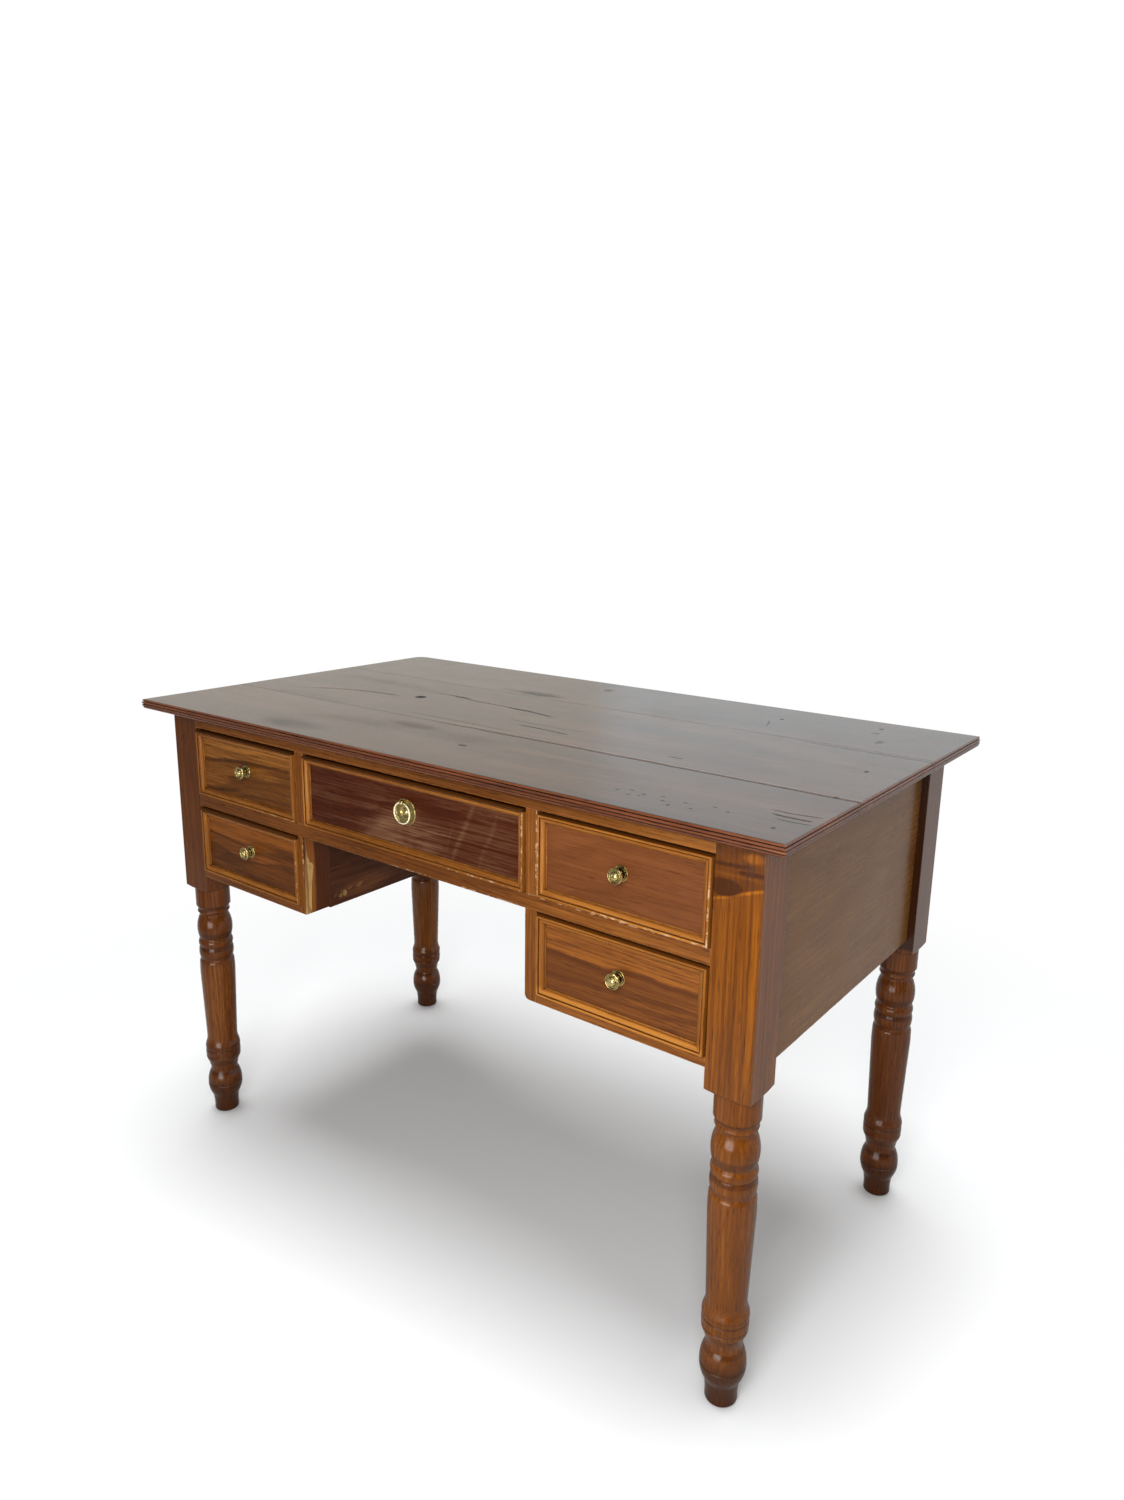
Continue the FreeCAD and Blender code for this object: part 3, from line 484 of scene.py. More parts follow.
def wood(name, along, tones, rings, ring_share=0.16, fibre_share=0.9, band_share=0.3, pore_share=0.45,
         patch_share=0.5, rough=(0.22, 0.34), shine=0.17, worn=(0.42, 0.17, 0.05), wear=0.5, reach=0.0016,
         hollow_shade_and_dirt=0.7, marks=None, wander=6.0, cut=0.0, rim=None, chips=None, chip_tone=(0.66, 0.43, 0.25),
         gap_shade_above=None):
    """A waxed wood finish. tones are its dark, middle and light colours, rim those of its upright edges, which
    are painted lighter than the face as painted light.
    chips are marks where flakes of the finish are gone; above the height given last, it is painted dark and
    dull: a painted shadow of the gap over a drawer."""
    material, bench = new_material(name)
    place = bench.add("ShaderNodeTexCoord", out="Object")
    straight, grain = in_the_trunk(bench, along)
    late = growth_rings(bench, straight, grain, rings)
    fibre = bench.noise(grain, FIBRE_SCALE, 4.0, 0.6)
    band = bench.noise(grain, BAND_SCALE, 3.0, 0.6)
    pores = bench.spread(bench.noise(grain, PORE_SCALE, 1.0), *PORE_EDGE)
    patch = bench.noise(grain, PATCH_SCALE, 3.0)
    tone = bench.weigh(late, -ring_share, 0.5 + 0.3 * ring_share)
    for cloud, share in ((fibre, fibre_share), (band, band_share), (patch, patch_share)):
        tone = bench.weigh(bench.minus(cloud, 0.5), share, tone)
    tone = bench.weigh(pores, -pore_share, tone)
    figure = 0.0
    for plane, lines in (marks or {}).items():
        figure = bench.calc("ADD", figure, drawn_marks(bench, place, plane, lines, wander))
    if marks:
        tone = bench.weigh(figure, bench.spread(fibre, *FIGURE_BY_FIBRE), tone)
    colour = bench.ramp(tone, tones)
    smear = bench.noise(place, SMEAR_SCALE, 3.0, 0.6)
    gloss = bench.spread(bench.weigh(fibre, 0.35, smear), *GLOSS_SPAN, *rough, soft=False)
    # Upright edges take their own lighter tones: painted light.
    if rim:
        upright = bench.spread(bench.facing("z"), *UPRIGHT_EDGE)
        colour = bench.tint(upright, colour, bench.ramp(tone, rim))
        gloss = bench.weigh(upright, RIM_DULLER, gloss)
    rubbed, soft = worn_corners(bench, reach, wear * PATCHY_BY_WEAR, place)
    colour = bench.tint(bench.times(rubbed, wear), colour, (*worn, 1))
    for plane, lines in (chips or {}).items():
        flake = bench.spread(bench.noise(place, FLAKE_SCALE, 4.0, 0.7), *FLAKE_EDGE)
        bare = bench.times(drawn_marks(bench, place, plane, lines, CHIP_WANDER), flake)
        colour = bench.tint(bare, colour, (*chip_tone, 1))
    # Painted shade, with some dirt, darkens the hollows.
    dark = tuple(SHADE_AND_DIRT_TONE * c for c in tones[0])
    colour = bench.tint(bench.times(shade_and_dirt_in_hollows(bench), hollow_shade_and_dirt), colour, (*dark, 1))
    # Painted shadow of the gap over a drawer: the piece is painted dark and dull above the given height.
    if gap_shade_above:
        gap_shaded = bench.spread(bench.parts(place)[2], gap_shade_above - GAP_SHADE_EDGE, gap_shade_above + GAP_SHADE_EDGE)
        colour = bench.tint(gap_shaded, colour, bench.tint(bench.facing("z"), (*dark, 1), (*tones[0], 1)))
        gloss = bench.weigh(gap_shaded, GAP_SHADE_DULLER, gloss)
    height = bench.weigh(late, RING_SUNK, bench.weigh(pores, PORE_SUNK, fibre))
    bumped = bench.add("ShaderNodeBump", {"Strength": 0.2, "Distance": GRAIN_DEPTH, "Height": height,
                                          "Normal": soft})
    if cut:
        bumped = bench.add("ShaderNodeBump", {"Strength": 1.0, "Distance": cut, "Height": figure,
                                              "Normal": bumped})
        gloss = bench.weigh(bench.calc("MINIMUM", figure, 0.0), CUT_DULLER, gloss)
    surface = {"Base Color": colour, "Roughness": gloss, "Normal": bumped, "Specular IOR Level": shine}
    bench.add("ShaderNodeOutputMaterial", {0: bench.add("ShaderNodeBsdfPrincipled", surface)})
    return material


def dress(material, *names):
    for name in names:
        desk[name].data.materials.clear()
        desk[name].data.materials.append(material)


print("wood finish ready")

# %% [markdown]
# ## The top
# Three broad planks with the grain along the desk, dark red-brown under a hard wax that mirrors the room, so
# that it looks grey from a low eye. The long cracks, the knots and the pits are old damage, drawn where the
# photograph shows them. A pit is a row of five numbers: its middle, its half sizes and how dark it is.

# %% Top boards
TOP_FLAWS = (
    (streak, ((-760, -133), (100, -133)), 2.5, -0.12),
    (streak, ((-150, -133), (300, -133), (760, -135)), 2.8, -0.8),
    (streak, ((-150, -125), (300, -126), (760, -128)), 4, 0.5),
    (streak, ((-760, 130), (760, 130)), 2, -0.12),
    (streak, ((380, 119), (500, 118), (680, 116)), 5, -0.3),
    (streak, ((-275, 40), (-215, 42), (-170, 33), (-82, 28), (-15, 22), (45, 2)), 2.2, -1.2),
    (streak, ((-90, 26), (-65, 23), (-20, 20), (30, 6)), 3.2, -0.8),
    (streak, ((10, -66), (60, -69), (125, -75)), 2.8, -1.1),
    (streak, ((-490, -90), (-420, -45), (-355, -27), (-280, -23)), 9, -0.4),
    (spot, ((-259, -5), (12, 12)), 1, -1.8),
    (spot, ((-200, 40), (22, 7)), 1.3, -0.4),
    (spot, ((-120, 155), (40, 18)), 1.5, -0.3),
    (streak, ((-225, 158), (-120, 152), (-40, 156)), 18, -0.22),
    (spot, ((-48, 268), (11, 12)), 1.3, -0.35),
    (spot, ((-100, -175), (50, 16)), 1.5, -0.22),
    (spot, ((-250, -292), (60, 24)), 1.5, -0.25),
    (streak, ((-330, -245), (-120, -200), (120, -190)), 40, -0.16),
    (streak, ((300, 224), (309, 205), (318, 172)), 4, -0.7),
    (spot, ((470, 245), (8, 6)), 1.3, -0.35),
    (streak, ((535, -241), (560, -242), (590, -242)), 3.5, -1.3),
    (streak, ((525, -227), (560, -226), (596, -219)), 3, -0.6),
    (streak, ((545, -256), (572, -257), (596, -252)), 2.5, -0.5),
    (streak, ((-200, -112), (-60, -110), (60, -112)), 4, -0.3),
    (streak, ((-40, -40), (60, -48), (160, -46)), 5, -0.25),
    (streak, ((-560, 40), (-430, 62), (-300, 48), (-180, 60)), 30, -0.12),
    (streak, ((-540, -150), (-420, -120), (-280, -128)), 28, -0.1),
    (streak, ((60, -200), (220, -212), (400, -205)), 24, -0.1),
)
PITS = ((46, -226, 9, 5, -0.7), (312, 247, 3, 6, -0.7), (465, 280, 4, 8, -0.5), (497, 188, 7, 14, -0.35),
        (548, 11, 3, 5, -1.1), (567, -131, 4, 4, -0.9), (563, -289, 3, 4, -0.6), (345, -272, 4, 2, -0.5),
        (360, -262, 4, 1.5, -0.6), (368, -281, 3, 1.5, -0.6), (382, -268, 3.5, 2, -0.7),
        (381, -277, 2.5, 2, -0.6), (405, -262, 4, 1.5, -0.6), (414, -278, 3, 2, -0.6),
        (428, -289, 3, 2.5, -0.7), (440, -268, 4, 1.5, -0.6), (456, -284, 2.5, 2, -0.6),
        (475, -262, 4, 2, -0.5), (496, -270, 3, 2, -0.6), (316, -88, 14, 2, -0.5))
PIT_EDGE = 1.2
TOP_MARKS = TOP_FLAWS + tuple(
    (spot, ((x, y), (half_x, half_y)), PIT_EDGE, strength) for x, y, half_x, half_y, strength in PITS)
TOP_TONES = ((0.010, 0.005, 0.003), (0.068, 0.030, 0.015), (0.14, 0.066, 0.034))
# The top's upright edges are painted lighter than its face: painted light.
RIM_TONES = ((0.05, 0.012, 0.004), (0.20, 0.055, 0.017), (0.42, 0.140, 0.045))
TOP_RINGS = dict(pith=(0.05, 0.55), lean=(0.02, 0.03), width=0.006, drift=0.05, ripple=0.006)
top_finish = wood("waxed_top", "x", TOP_TONES, TOP_RINGS,
                  ring_share=0.15, patch_share=0.9, rough=(0.11, 0.23), shine=0.5, worn=(0.20, 0.075, 0.030),
                  wear=0.5, marks={"xy": TOP_MARKS}, wander=7.0, cut=0.001, rim=RIM_TONES)
dress(top_finish, "top_board_front", "top_board_middle", "top_board_back")
print("top dressed with", len(TOP_MARKS), "marks")

# %% [markdown]
# ## Front frame and legs
# The rails run along the desk and the uprights and legs stand, and each has its grain along its length. The
# posts are turned from squares of straight, close-grained wood; the right-hand one has a knot and a reddish
# band at its head.

# %% Rails and uprights
FRAME_TONES = ((0.080, 0.020, 0.004), (0.230, 0.073, 0.012), (0.45, 0.165, 0.030))
# The first rail mark darkens the top rail just under the top: painted shadow of the top's overhang, with some
# dirt.
RAIL_MARKS = {"xz": ((over, ((-520, 757), (520, 757)), 5, -0.22),
                     (spot, ((-20, 617), (230, 40)), 1.3, -0.22),
                     (spot, ((-370, 560), (150, 160)), 1.3, -0.18),
                     (spot, ((380, 485), (160, 20)), 1.3, 0.2),
                     (spot, ((380, 755), (160, 20)), 1.3, 0.2))}
RAIL_CHIPS = {"xz": ((streak, ((200, 626), (470, 626)), 2, 0.8),
                     (streak, ((-60, 607), (230, 607)), 1.6, 0.7))}
UPRIGHT_CHIPS = {"zx": ((streak, ((600, 240), (760, 240)), 2, 1.0),)}
RAIL_RINGS = dict(pith=(-0.20, 0.40), lean=(0.01, 0.03), width=0.005, drift=0.03, ripple=0.004)
UPRIGHT_RINGS = dict(pith=(0.05, -0.10), lean=(0.02, 0.01), width=0.005, drift=0.03, ripple=0.004)
FRAME_WEAR = {"wear": 0.8, "reach": 0.002, "worn": (0.60, 0.30, 0.10)}
rail_finish = wood("waxed_rails", "x", FRAME_TONES, RAIL_RINGS, patch_share=1.0, marks=RAIL_MARKS,
                   chips=RAIL_CHIPS, **FRAME_WEAR)
upright_finish = wood("waxed_uprights", "z", FRAME_TONES, UPRIGHT_RINGS, patch_share=0.8,
                      chips=UPRIGHT_CHIPS, **FRAME_WEAR)
dress(rail_finish, "top_rail", "middle_rail", "bottom_rail_left", "bottom_rail_right")
# The first stile mark darkens its face inside the kneehole, behind the front: painted shade.
STILE_MARKS = {"zy": ((over, ((400, -281), (640, -281)), 2, -0.7),),
               "zx": ((streak, ((565, -228), (588, -227), (625, -228)), 3, -1.3),)}
STILE_CHIPS = {"zx": ((streak, ((535, -232), (575, -231), (625, -232)), 2.5, 1.0),)}
stile_finish = wood("waxed_split_stile", "z", FRAME_TONES, UPRIGHT_RINGS, patch_share=0.8, marks=STILE_MARKS,
                    wander=3.0, chips=STILE_CHIPS, chip_tone=(0.60, 0.38, 0.13), **FRAME_WEAR)
dress(upright_finish, "upright_left", "upright_right", "stile_right")
dress(stile_finish, "stile_left")
print("front frame dressed")

# %% Legs
LEG_TONES = ((0.070, 0.018, 0.002), (0.205, 0.057, 0.003), (0.44, 0.135, 0.005))
# The left and back legs take a darker copy of these tones: painted shade on the legs that stand farther from
# the light.
SHADED_LEG_TONES = ((0.040, 0.010, 0.002), (0.140, 0.036, 0.004), (0.30, 0.095, 0.009))
LEG_RINGS = dict(pith=(0.20, -0.05), lean=(0.01, 0.02), width=0.0055, drift=0.02, ripple=0.003)
# Most belts darken the turned grooves: painted shade, with some dirt; the lowest darkens the foot.
LEG_BELTS = (
    (belt, (-10, 62), 8, -0.3), (belt, (77, 83), 2, -0.25), (belt, (98, 107), 3, -0.2),
    (belt, (125, 127), 1.5, -0.25), (belt, (133, 135), 1.5, -0.2), (belt, (309, 315), 2, -0.12),
    (belt, (325, 333), 2, -0.32), (belt, (349, 360), 2.5, -0.3), (belt, (404, 411), 2.5, -0.28))
PALE_SHAFT, DARK_FOOT = (belt, (145, 300), 10, 0.25), (belt, (-10, 75), 8, -0.2)
POST_MARKS = {"xz": (
    (over, ((495, 686), (530, 700), (562, 713)), 3, -0.3),
    (spot, ((513, 706), (22, 11)), 1.15, -1.2),
    (streak, ((480, 683), (530, 701), (580, 719)), 3.5, 0.6),
    (streak, ((480, 733), (515, 734), (550, 736)), 4, -0.4),
    (streak, ((525, 727), (550, 728), (585, 729)), 4, -0.5),
    (streak, ((480, 722), (570, 722)), 4, 0.2),
    (spot, ((548, 747), (18, 8)), 1.2, 0.55)),
    "zx": (
    (streak, ((430, 521), (560, 519), (705, 522)), 2, -0.2),
    (streak, ((430, 534), (560, 531), (715, 535)), 2.5, -0.18),
    (streak, ((470, 548), (600, 549), (725, 545)), 2, -0.15),
    (streak, ((430, 540), (520, 541), (640, 539)), 3, 0.2),
    (streak, ((430, 553), (560, 554), (720, 553)), 6, 0.22)),
    "z": LEG_BELTS + (DARK_FOOT,)}
# The back post is darkened above its turning on its front and back faces: painted shade beside the side panel.
BACK_POST_MARKS = {"xz": ((over, ((490, 452), (570, 452)), 4, -0.6),), "z": LEG_BELTS}
WAX = {"ring_share": 0.12, "fibre_share": 0.7, "rough": (0.13, 0.24), "shine": 0.34, "hollow_shade_and_dirt": 0.85}
leg_finish = wood("waxed_legs", "z", SHADED_LEG_TONES, LEG_RINGS, marks={"z": LEG_BELTS + (PALE_SHAFT,)},
                  wander=3.0, **WAX)
back_leg_finish = wood("waxed_back_leg", "z", SHADED_LEG_TONES, LEG_RINGS, marks=BACK_POST_MARKS,
                       wander=0.0, **WAX)
post_finish = wood("waxed_knotted_leg", "z", LEG_TONES, LEG_RINGS, marks=POST_MARKS, wander=5.0, **WAX)
dress(leg_finish, "leg_front_left", "leg_back_left")
dress(back_leg_finish, "leg_back_right")
dress(post_finish, "leg_front_right")
print("legs dressed")

# %% [markdown]
# ## Side, kneehole and back boards
# These broad boards got less polish. The kneehole sides are painted dark, a painted shade inside the kneehole,
# and are so dull that they mirror little.

# %% Side, kneehole and back boards
SIDE_TONES = ((0.13, 0.046, 0.009), (0.238, 0.096, 0.018), (0.39, 0.180, 0.045))
KNEE_SHADE_TONES = ((0.020, 0.005, 0.002), (0.070, 0.020, 0.007), (0.17, 0.062, 0.020))
BACK_TONES = ((0.055, 0.020, 0.006), (0.105, 0.046, 0.014), (0.18, 0.085, 0.028))
KNEE_MARKS = {"yz": (
    (spot, ((-175, 497), (60, 18)), 1.3, 0.35),
    (over, ((-300, 585), (-150, 560), (50, 530)), 60, -0.12))}
KNEE_CHIPS = {"yz": ((spot, ((-224, 492), (16, 5)), 1.5, 0.9), (spot, ((-190, 498), (26, 4)), 1.4, 0.35))}
PANEL_RINGS = dict(pith=(0.62, 0.30), lean=(0.03, 0.02), width=0.008, drift=0.06, ripple=0.006)
BACK_RINGS = {**PANEL_RINGS, "pith": (0.20, 0.62)}
side_finish = wood("waxed_panels", "y", SIDE_TONES, PANEL_RINGS, shine=0.25)
knee_finish = wood("waxed_kneehole", "y", KNEE_SHADE_TONES, PANEL_RINGS, rough=(0.45, 0.60), marks=KNEE_MARKS,
                   chips=KNEE_CHIPS, chip_tone=(0.42, 0.24, 0.08))
back_finish = wood("waxed_back", "x", BACK_TONES, BACK_RINGS, shine=0.25)
dress(side_finish, "side_panel_left", "side_panel_right")
dress(knee_finish, "kneehole_panel_left", "kneehole_panel_right")
dress(back_finish, "back_apron", "back_board_left", "back_board_right")
print("panels dressed")

# %% [markdown]
# ## Drawer fronts
# Every drawer front is a different board, with tones and streaks of its own: some golden above and brown
# below, the wide one dark and red with a pale flame.

# %% Fields
FIELDS = {
    "left_upper": (((0.050, 0.016, 0.004), (0.165, 0.053, 0.008), (0.50, 0.195, 0.033)), (
        (over, ((-500, 688), (-440, 697), (-400, 703), (-360, 705), (-300, 706), (-240, 708)), 3, 0.26),
        (streak, ((-530, 685), (-440, 695), (-380, 701), (-350, 702), (-240, 705)), 5, -0.4),
        (streak, ((-520, 640), (-450, 644), (-380, 656)), 6, -0.3),
        (streak, ((-400, 640), (-330, 648), (-240, 650)), 4, -0.22),
        (streak, ((-390, 672), (-320, 676), (-240, 682)), 6, -0.18),
        (spot, ((-325, 689), (45, 9)), 1.2, 0.14))),
    "left_lower": (((0.044, 0.012, 0.003), (0.123, 0.035, 0.004), (0.33, 0.100, 0.013)), (
        (over, ((-500, 568), (-440, 563), (-400, 562), (-350, 570), (-300, 573), (-240, 575)), 4, 0.24),
        (over, ((-500, 544), (-440, 537), (-390, 529), (-350, 532), (-300, 541), (-240, 546)), 4, 0.14),
        (streak, ((-540, 546), (-440, 537), (-390, 529), (-350, 532), (-290, 541), (-200, 548)), 4, -0.2),
        (streak, ((-520, 565), (-440, 560), (-380, 556)), 5, -0.22),
        (spot, ((-330, 541), (38, 7)), 1.3, 0.16),
        (streak, ((-520, 508), (-400, 505), (-240, 512)), 7, -0.12))),
    # The centre's light tone is greyed: partly the pale flame, partly a painted grey reflection.
    "centre": (((0.030, 0.006, 0.002), (0.076, 0.014, 0.003), (0.230, 0.108, 0.055)), (
        (spot, ((-5, 660), (95, 45)), 1.2, 0.32),
        (streak, ((-100, 630), (-66, 652), (-36, 668), (-4, 674)), 14, 0.12),
        (streak, ((-24, 670), (0, 664), (30, 652), (70, 630)), 14, 0.1),
        (spot, ((-2, 655), (9, 18)), 1.3, -0.08),
        (streak, ((80, 615), (92, 650), (112, 692), (136, 740)), 16, 0.17),
        (streak, ((70, 620), (80, 660), (92, 700)), 10, 0.07),
        (streak, ((132, 620), (142, 655), (160, 692), (174, 725)), 14, 0.1),
        (streak, ((-230, 676), (-120, 672), (-40, 680)), 14, -0.1),
        # This spot on the right lifts the field towards that grey: painted reflection.
        (spot, ((150, 680), (100, 60)), 1.2, 0.08))),
    "right_upper": (((0.10, 0.029, 0.008), (0.195, 0.061, 0.017), (0.31, 0.105, 0.030)), (
        (streak, ((240, 706), (330, 710), (500, 722)), 12, 0.1),
        (streak, ((230, 648), (300, 652), (400, 660)), 4, -0.14),
        (streak, ((330, 666), (420, 668), (510, 676)), 4, -0.1))),
    "right_lower": (((0.080, 0.023, 0.006), (0.160, 0.049, 0.011), (0.44, 0.145, 0.021)), (
        (over, ((240, 560), (300, 558), (350, 555), (390, 563), (440, 561), (500, 569)), 5, 0.28),
        (streak, ((200, 556), (300, 554), (345, 553), (380, 561), (440, 559), (540, 567)), 6, -0.34),
        (streak, ((420, 512), (460, 520), (510, 530)), 4, -0.16),
        (spot, ((330, 576), (60, 9)), 1.3, -0.12),
        (streak, ((240, 520), (300, 526), (360, 530)), 8, -0.1))),
}
PITH_BEHIND, PITH_BELOW = 0.16, 0.05
# How far down the painted shadow of the gap reaches on the top of each field.
FIELD_GAP_SHADE = 0.0015
for name, (tones, marks) in FIELDS.items():
    low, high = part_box(name + "_front")
    middle = (low + high) / 2
    pith = (middle.y + PITH_BEHIND, middle.z - PITH_BELOW)
    rings = dict(pith=pith, lean=(0.05, 0.04), width=0.011, drift=0.06, ripple=0.008)
    finish = wood("waxed_field_" + name, "x", tones, rings, fibre_share=0.6, band_share=0.2,
                  marks={"xz": marks}, gap_shade_above=high.z - FIELD_GAP_SHADE)
    dress(finish, name + "_front")
print(len(FIELDS), "fields dressed")

# %% [markdown]
# ## Beading and drawer insides
# The beading round each field is cut from lighter strips and mitred, so the grain turns the corner with the
# strip. Its arrises are rubbed to raw wood. The drawer boxes were never polished.

# %% Beading and bare wood
BEADING_TONES = ((0.15, 0.046, 0.006), (0.32, 0.108, 0.016), (0.54, 0.210, 0.036))
BEADING_RINGS = {**RAIL_RINGS, "width": 0.004, "drift": 0.02, "ripple": 0.003}
# These marks paint light and shade on the beading: the lighter left and bottom strips, whose slopes face the
# light, are painted light; the centre's darker bottom strip is painted shade.
BEADING_LIGHT_AND_SHADE = {
    "right_lower": {"xz": ((spot, ((370, 494), (160, 14)), 1.2, 0.85),)},
    "right_upper": {"xz": ((spot, ((249, 683), (7, 70)), 1.2, 0.3),
                           (spot, ((370, 632), (140, 9)), 1.2, 0.35))},
    "centre": {"xz": ((spot, ((-214, 683), (7, 70)), 1.2, 0.45), (spot, ((0, 633), (230, 7)), 1.2, -0.25))},
}
BEADING_CHIPS = {
    "right_upper": {"xz": ((streak, ((310, 629.3), (520, 629.3)), 2.2, 1.0),),
                    "zx": ((streak, ((620, 245), (760, 245)), 2, 0.9),
                           (streak, ((610, 495), (720, 495)), 2.2, 1.0))},
    "centre": {"xz": ((streak, ((60, 629.3), (250, 629.3)), 2.2, 0.9),),
               "zx": ((streak, ((600, 218.5), (770, 218.5)), 2.2, 1.0),)},
    "left_lower": {"zx": ((streak, ((460, -245), (620, -245)), 1.8, 0.7),)},
    "left_upper": {"xz": ((streak, ((-350, 629.3), (-230, 629.3)), 1.8, 0.6),)},
}
INNER_TONES = ((0.20, 0.105, 0.045), (0.36, 0.215, 0.105), (0.50, 0.33, 0.18))
INNER_RINGS = dict(pith=(0.45, 0.20), lean=(0.03, 0.02), width=0.006, drift=0.03, ripple=0.004)
CROSS_RINGS = {**INNER_RINGS, "pith": (0.30, 0.45)}
BARE = {"ring_share": 0.3, "rough": (0.6, 0.75), "shine": 0.2, "wear": 0.2}
inner_finish = wood("bare_inner_wood", "y", INNER_TONES, INNER_RINGS, **BARE)
across_finish = wood("bare_cross_wood", "x", INNER_TONES, CROSS_RINGS, **BARE)
# How far down the painted shadow of the gap reaches on the beading: thin on the right-hand drawers, broad on
# the others.
THIN_GAP_SHADE, BROAD_GAP_SHADE = 0.0005, 0.0025
for name in FIELDS:
    low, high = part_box(name + "_beading")
    gap_shade = THIN_GAP_SHADE if "right" in name else BROAD_GAP_SHADE
    finish = wood("waxed_beading_" + name, ((low + high) / 2, (high - low) / 2), BEADING_TONES, BEADING_RINGS,
                  worn=(0.66, 0.34, 0.12), wear=0.6, reach=0.0012, gap_shade_above=high.z - gap_shade,
                  marks=BEADING_LIGHT_AND_SHADE.get(name), chips=BEADING_CHIPS.get(name))
    dress(finish, name + "_beading")
    dress(inner_finish, name + "_sides")
    dress(across_finish, name + "_back", name + "_bottom")
dress(inner_finish, "drawer_runners", "drawer_guides", "drawer_kickers", "drawer_stops", "glue_blocks")
print("drawers dressed")

# %% [markdown]
# ## Brass and steel
# The knobs and the ring pull are turned and polished brass, rubbed bright on the swells and brown in the
# grooves, with patina and painted shade. An even metal would be simpler, but it would hide the turning.

# %% Metal finish
STAIN_SCALE, SCRATCH_SCALE = (160, 160, 160), (900, 900, 2600)
METAL_REACH, BRIGHT_TO_DULL = 0.011, (0.95, 0.45)
HOLLOW_SHARE, STAIN_SHARE, STAIN_EDGE = 0.9, 0.2, (0.45, 0.75)
SMOOTH_TO_ROUGH = (0.3, 0.75)
SCRATCH_DEPTH = 0.0001


def metal(name, colour, dull, rough):
    """Old metal: rubbed bright on the swells, dull in the hollows with patina and painted shade, finely
    scratched.
    """
    material, bench = new_material(name)
    place = bench.add("ShaderNodeTexCoord", out="Object")
    stain = bench.noise(place, STAIN_SCALE, 3.0, 0.6)
    # Patina and painted shade darken the hollows, such as the rose behind the knob's head.
    hollow = bench.spread(bench.openness(METAL_REACH), *BRIGHT_TO_DULL)
    tarnish_and_shade = bench.weigh(hollow, HOLLOW_SHARE, bench.spread(stain, *STAIN_EDGE, 0.0, STAIN_SHARE))
    shade = bench.tint(tarnish_and_shade, (*colour, 1), (*dull, 1))
    scratch = bench.noise(place, SCRATCH_SCALE, 2.0)
    gloss = bench.spread(stain, *SMOOTH_TO_ROUGH, *rough)
    bumped = bench.add("ShaderNodeBump", {"Strength": 0.05, "Distance": SCRATCH_DEPTH, "Height": scratch})
    surface = {"Base Color": shade, "Metallic": 1.0, "Roughness": gloss, "Normal": bumped}
    bench.add("ShaderNodeOutputMaterial", {0: bench.add("ShaderNodeBsdfPrincipled", surface)})
    return material


brass = metal("old_brass", (0.80, 0.64, 0.26), (0.08, 0.055, 0.012), (0.19, 0.27))
rubbed_brass = metal("rubbed_brass", (0.93, 0.84, 0.56), (0.30, 0.22, 0.08), (0.36, 0.50))
steel = metal("dull_steel", (0.42, 0.41, 0.40), (0.12, 0.10, 0.08), (0.35, 0.55))
dress(steel, "top_screws")
print("metal ready")

# %% [markdown]
# ## Spun brass
# The imported solids are cut into flat facets, which a polished surface shows at once. So the knobs, the plate
# and the ring are spun again here from outlines taken from the photograph, in shares of each piece's radius and
# reach.

# %% Spin an outline
ARC_STEPS = 6
ROUND_STEPS = 64
BRASS_ARRIS = math.radians(35)


def kept_mesh(mesh, name):
    """Ends the editing of a mesh and keeps it under a name."""
    data = bpy.data.meshes.new(name)
    mesh.to_mesh(data)
    mesh.free()
    return data


def smooth_outline(rows, radius, reach):
    """Outline points in metres from rows of shares; a row of four is an arc through its middle point."""
    points = []
    for row in rows:
        if len(row) == 4:
            start, crown, end = points[-1], Vector(row[:2]), Vector(row[2:])
            for step in range(1, ARC_STEPS + 1):
                t = step / ARC_STEPS
                points.append(start * (1 - t) * (1 - 2 * t) + crown * 4 * t * (1 - t) + end * t * (2 * t - 1))
        else:
            points.append(Vector(row))
    return [(point.x * radius * MM, point.y * reach * MM) for point in points]


def spun(name, outlines, middle, material, body, *stands_for):
    """One piece of closed outlines (radius, reach) spun round the line that leaves the drawer at middle."""
    mesh = bmesh.new()
    for outline in outlines:
        rings = []
        for radius, reach in outline:
            turns = [2 * math.pi * step / ROUND_STEPS for step in range(ROUND_STEPS if radius > 0 else 1)]
            rings.append([mesh.verts.new((middle[0] + radius * math.cos(a), middle[1] - reach,
                                          middle[2] + radius * math.sin(a))) for a in turns])
        for inner, outer in zip(rings, rings[1:]):
            for step in range(ROUND_STEPS):
                after = (step + 1) % ROUND_STEPS
                corners = [inner[step % len(inner)], inner[after % len(inner)],
                           outer[after % len(outer)], outer[step % len(outer)]]
                face = list(dict.fromkeys(corners))
                if len(face) > 2:
                    mesh.faces.new(face).smooth = True
    bmesh.ops.recalc_face_normals(mesh, faces=mesh.faces[:])
    data = kept_mesh(mesh, name)
    data.set_sharp_from_angle(angle=BRASS_ARRIS)
    data.materials.append(material)
    piece = put(name, data)
    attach(piece, body)
    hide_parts(*stands_for)
    return piece


print("lathe ready")

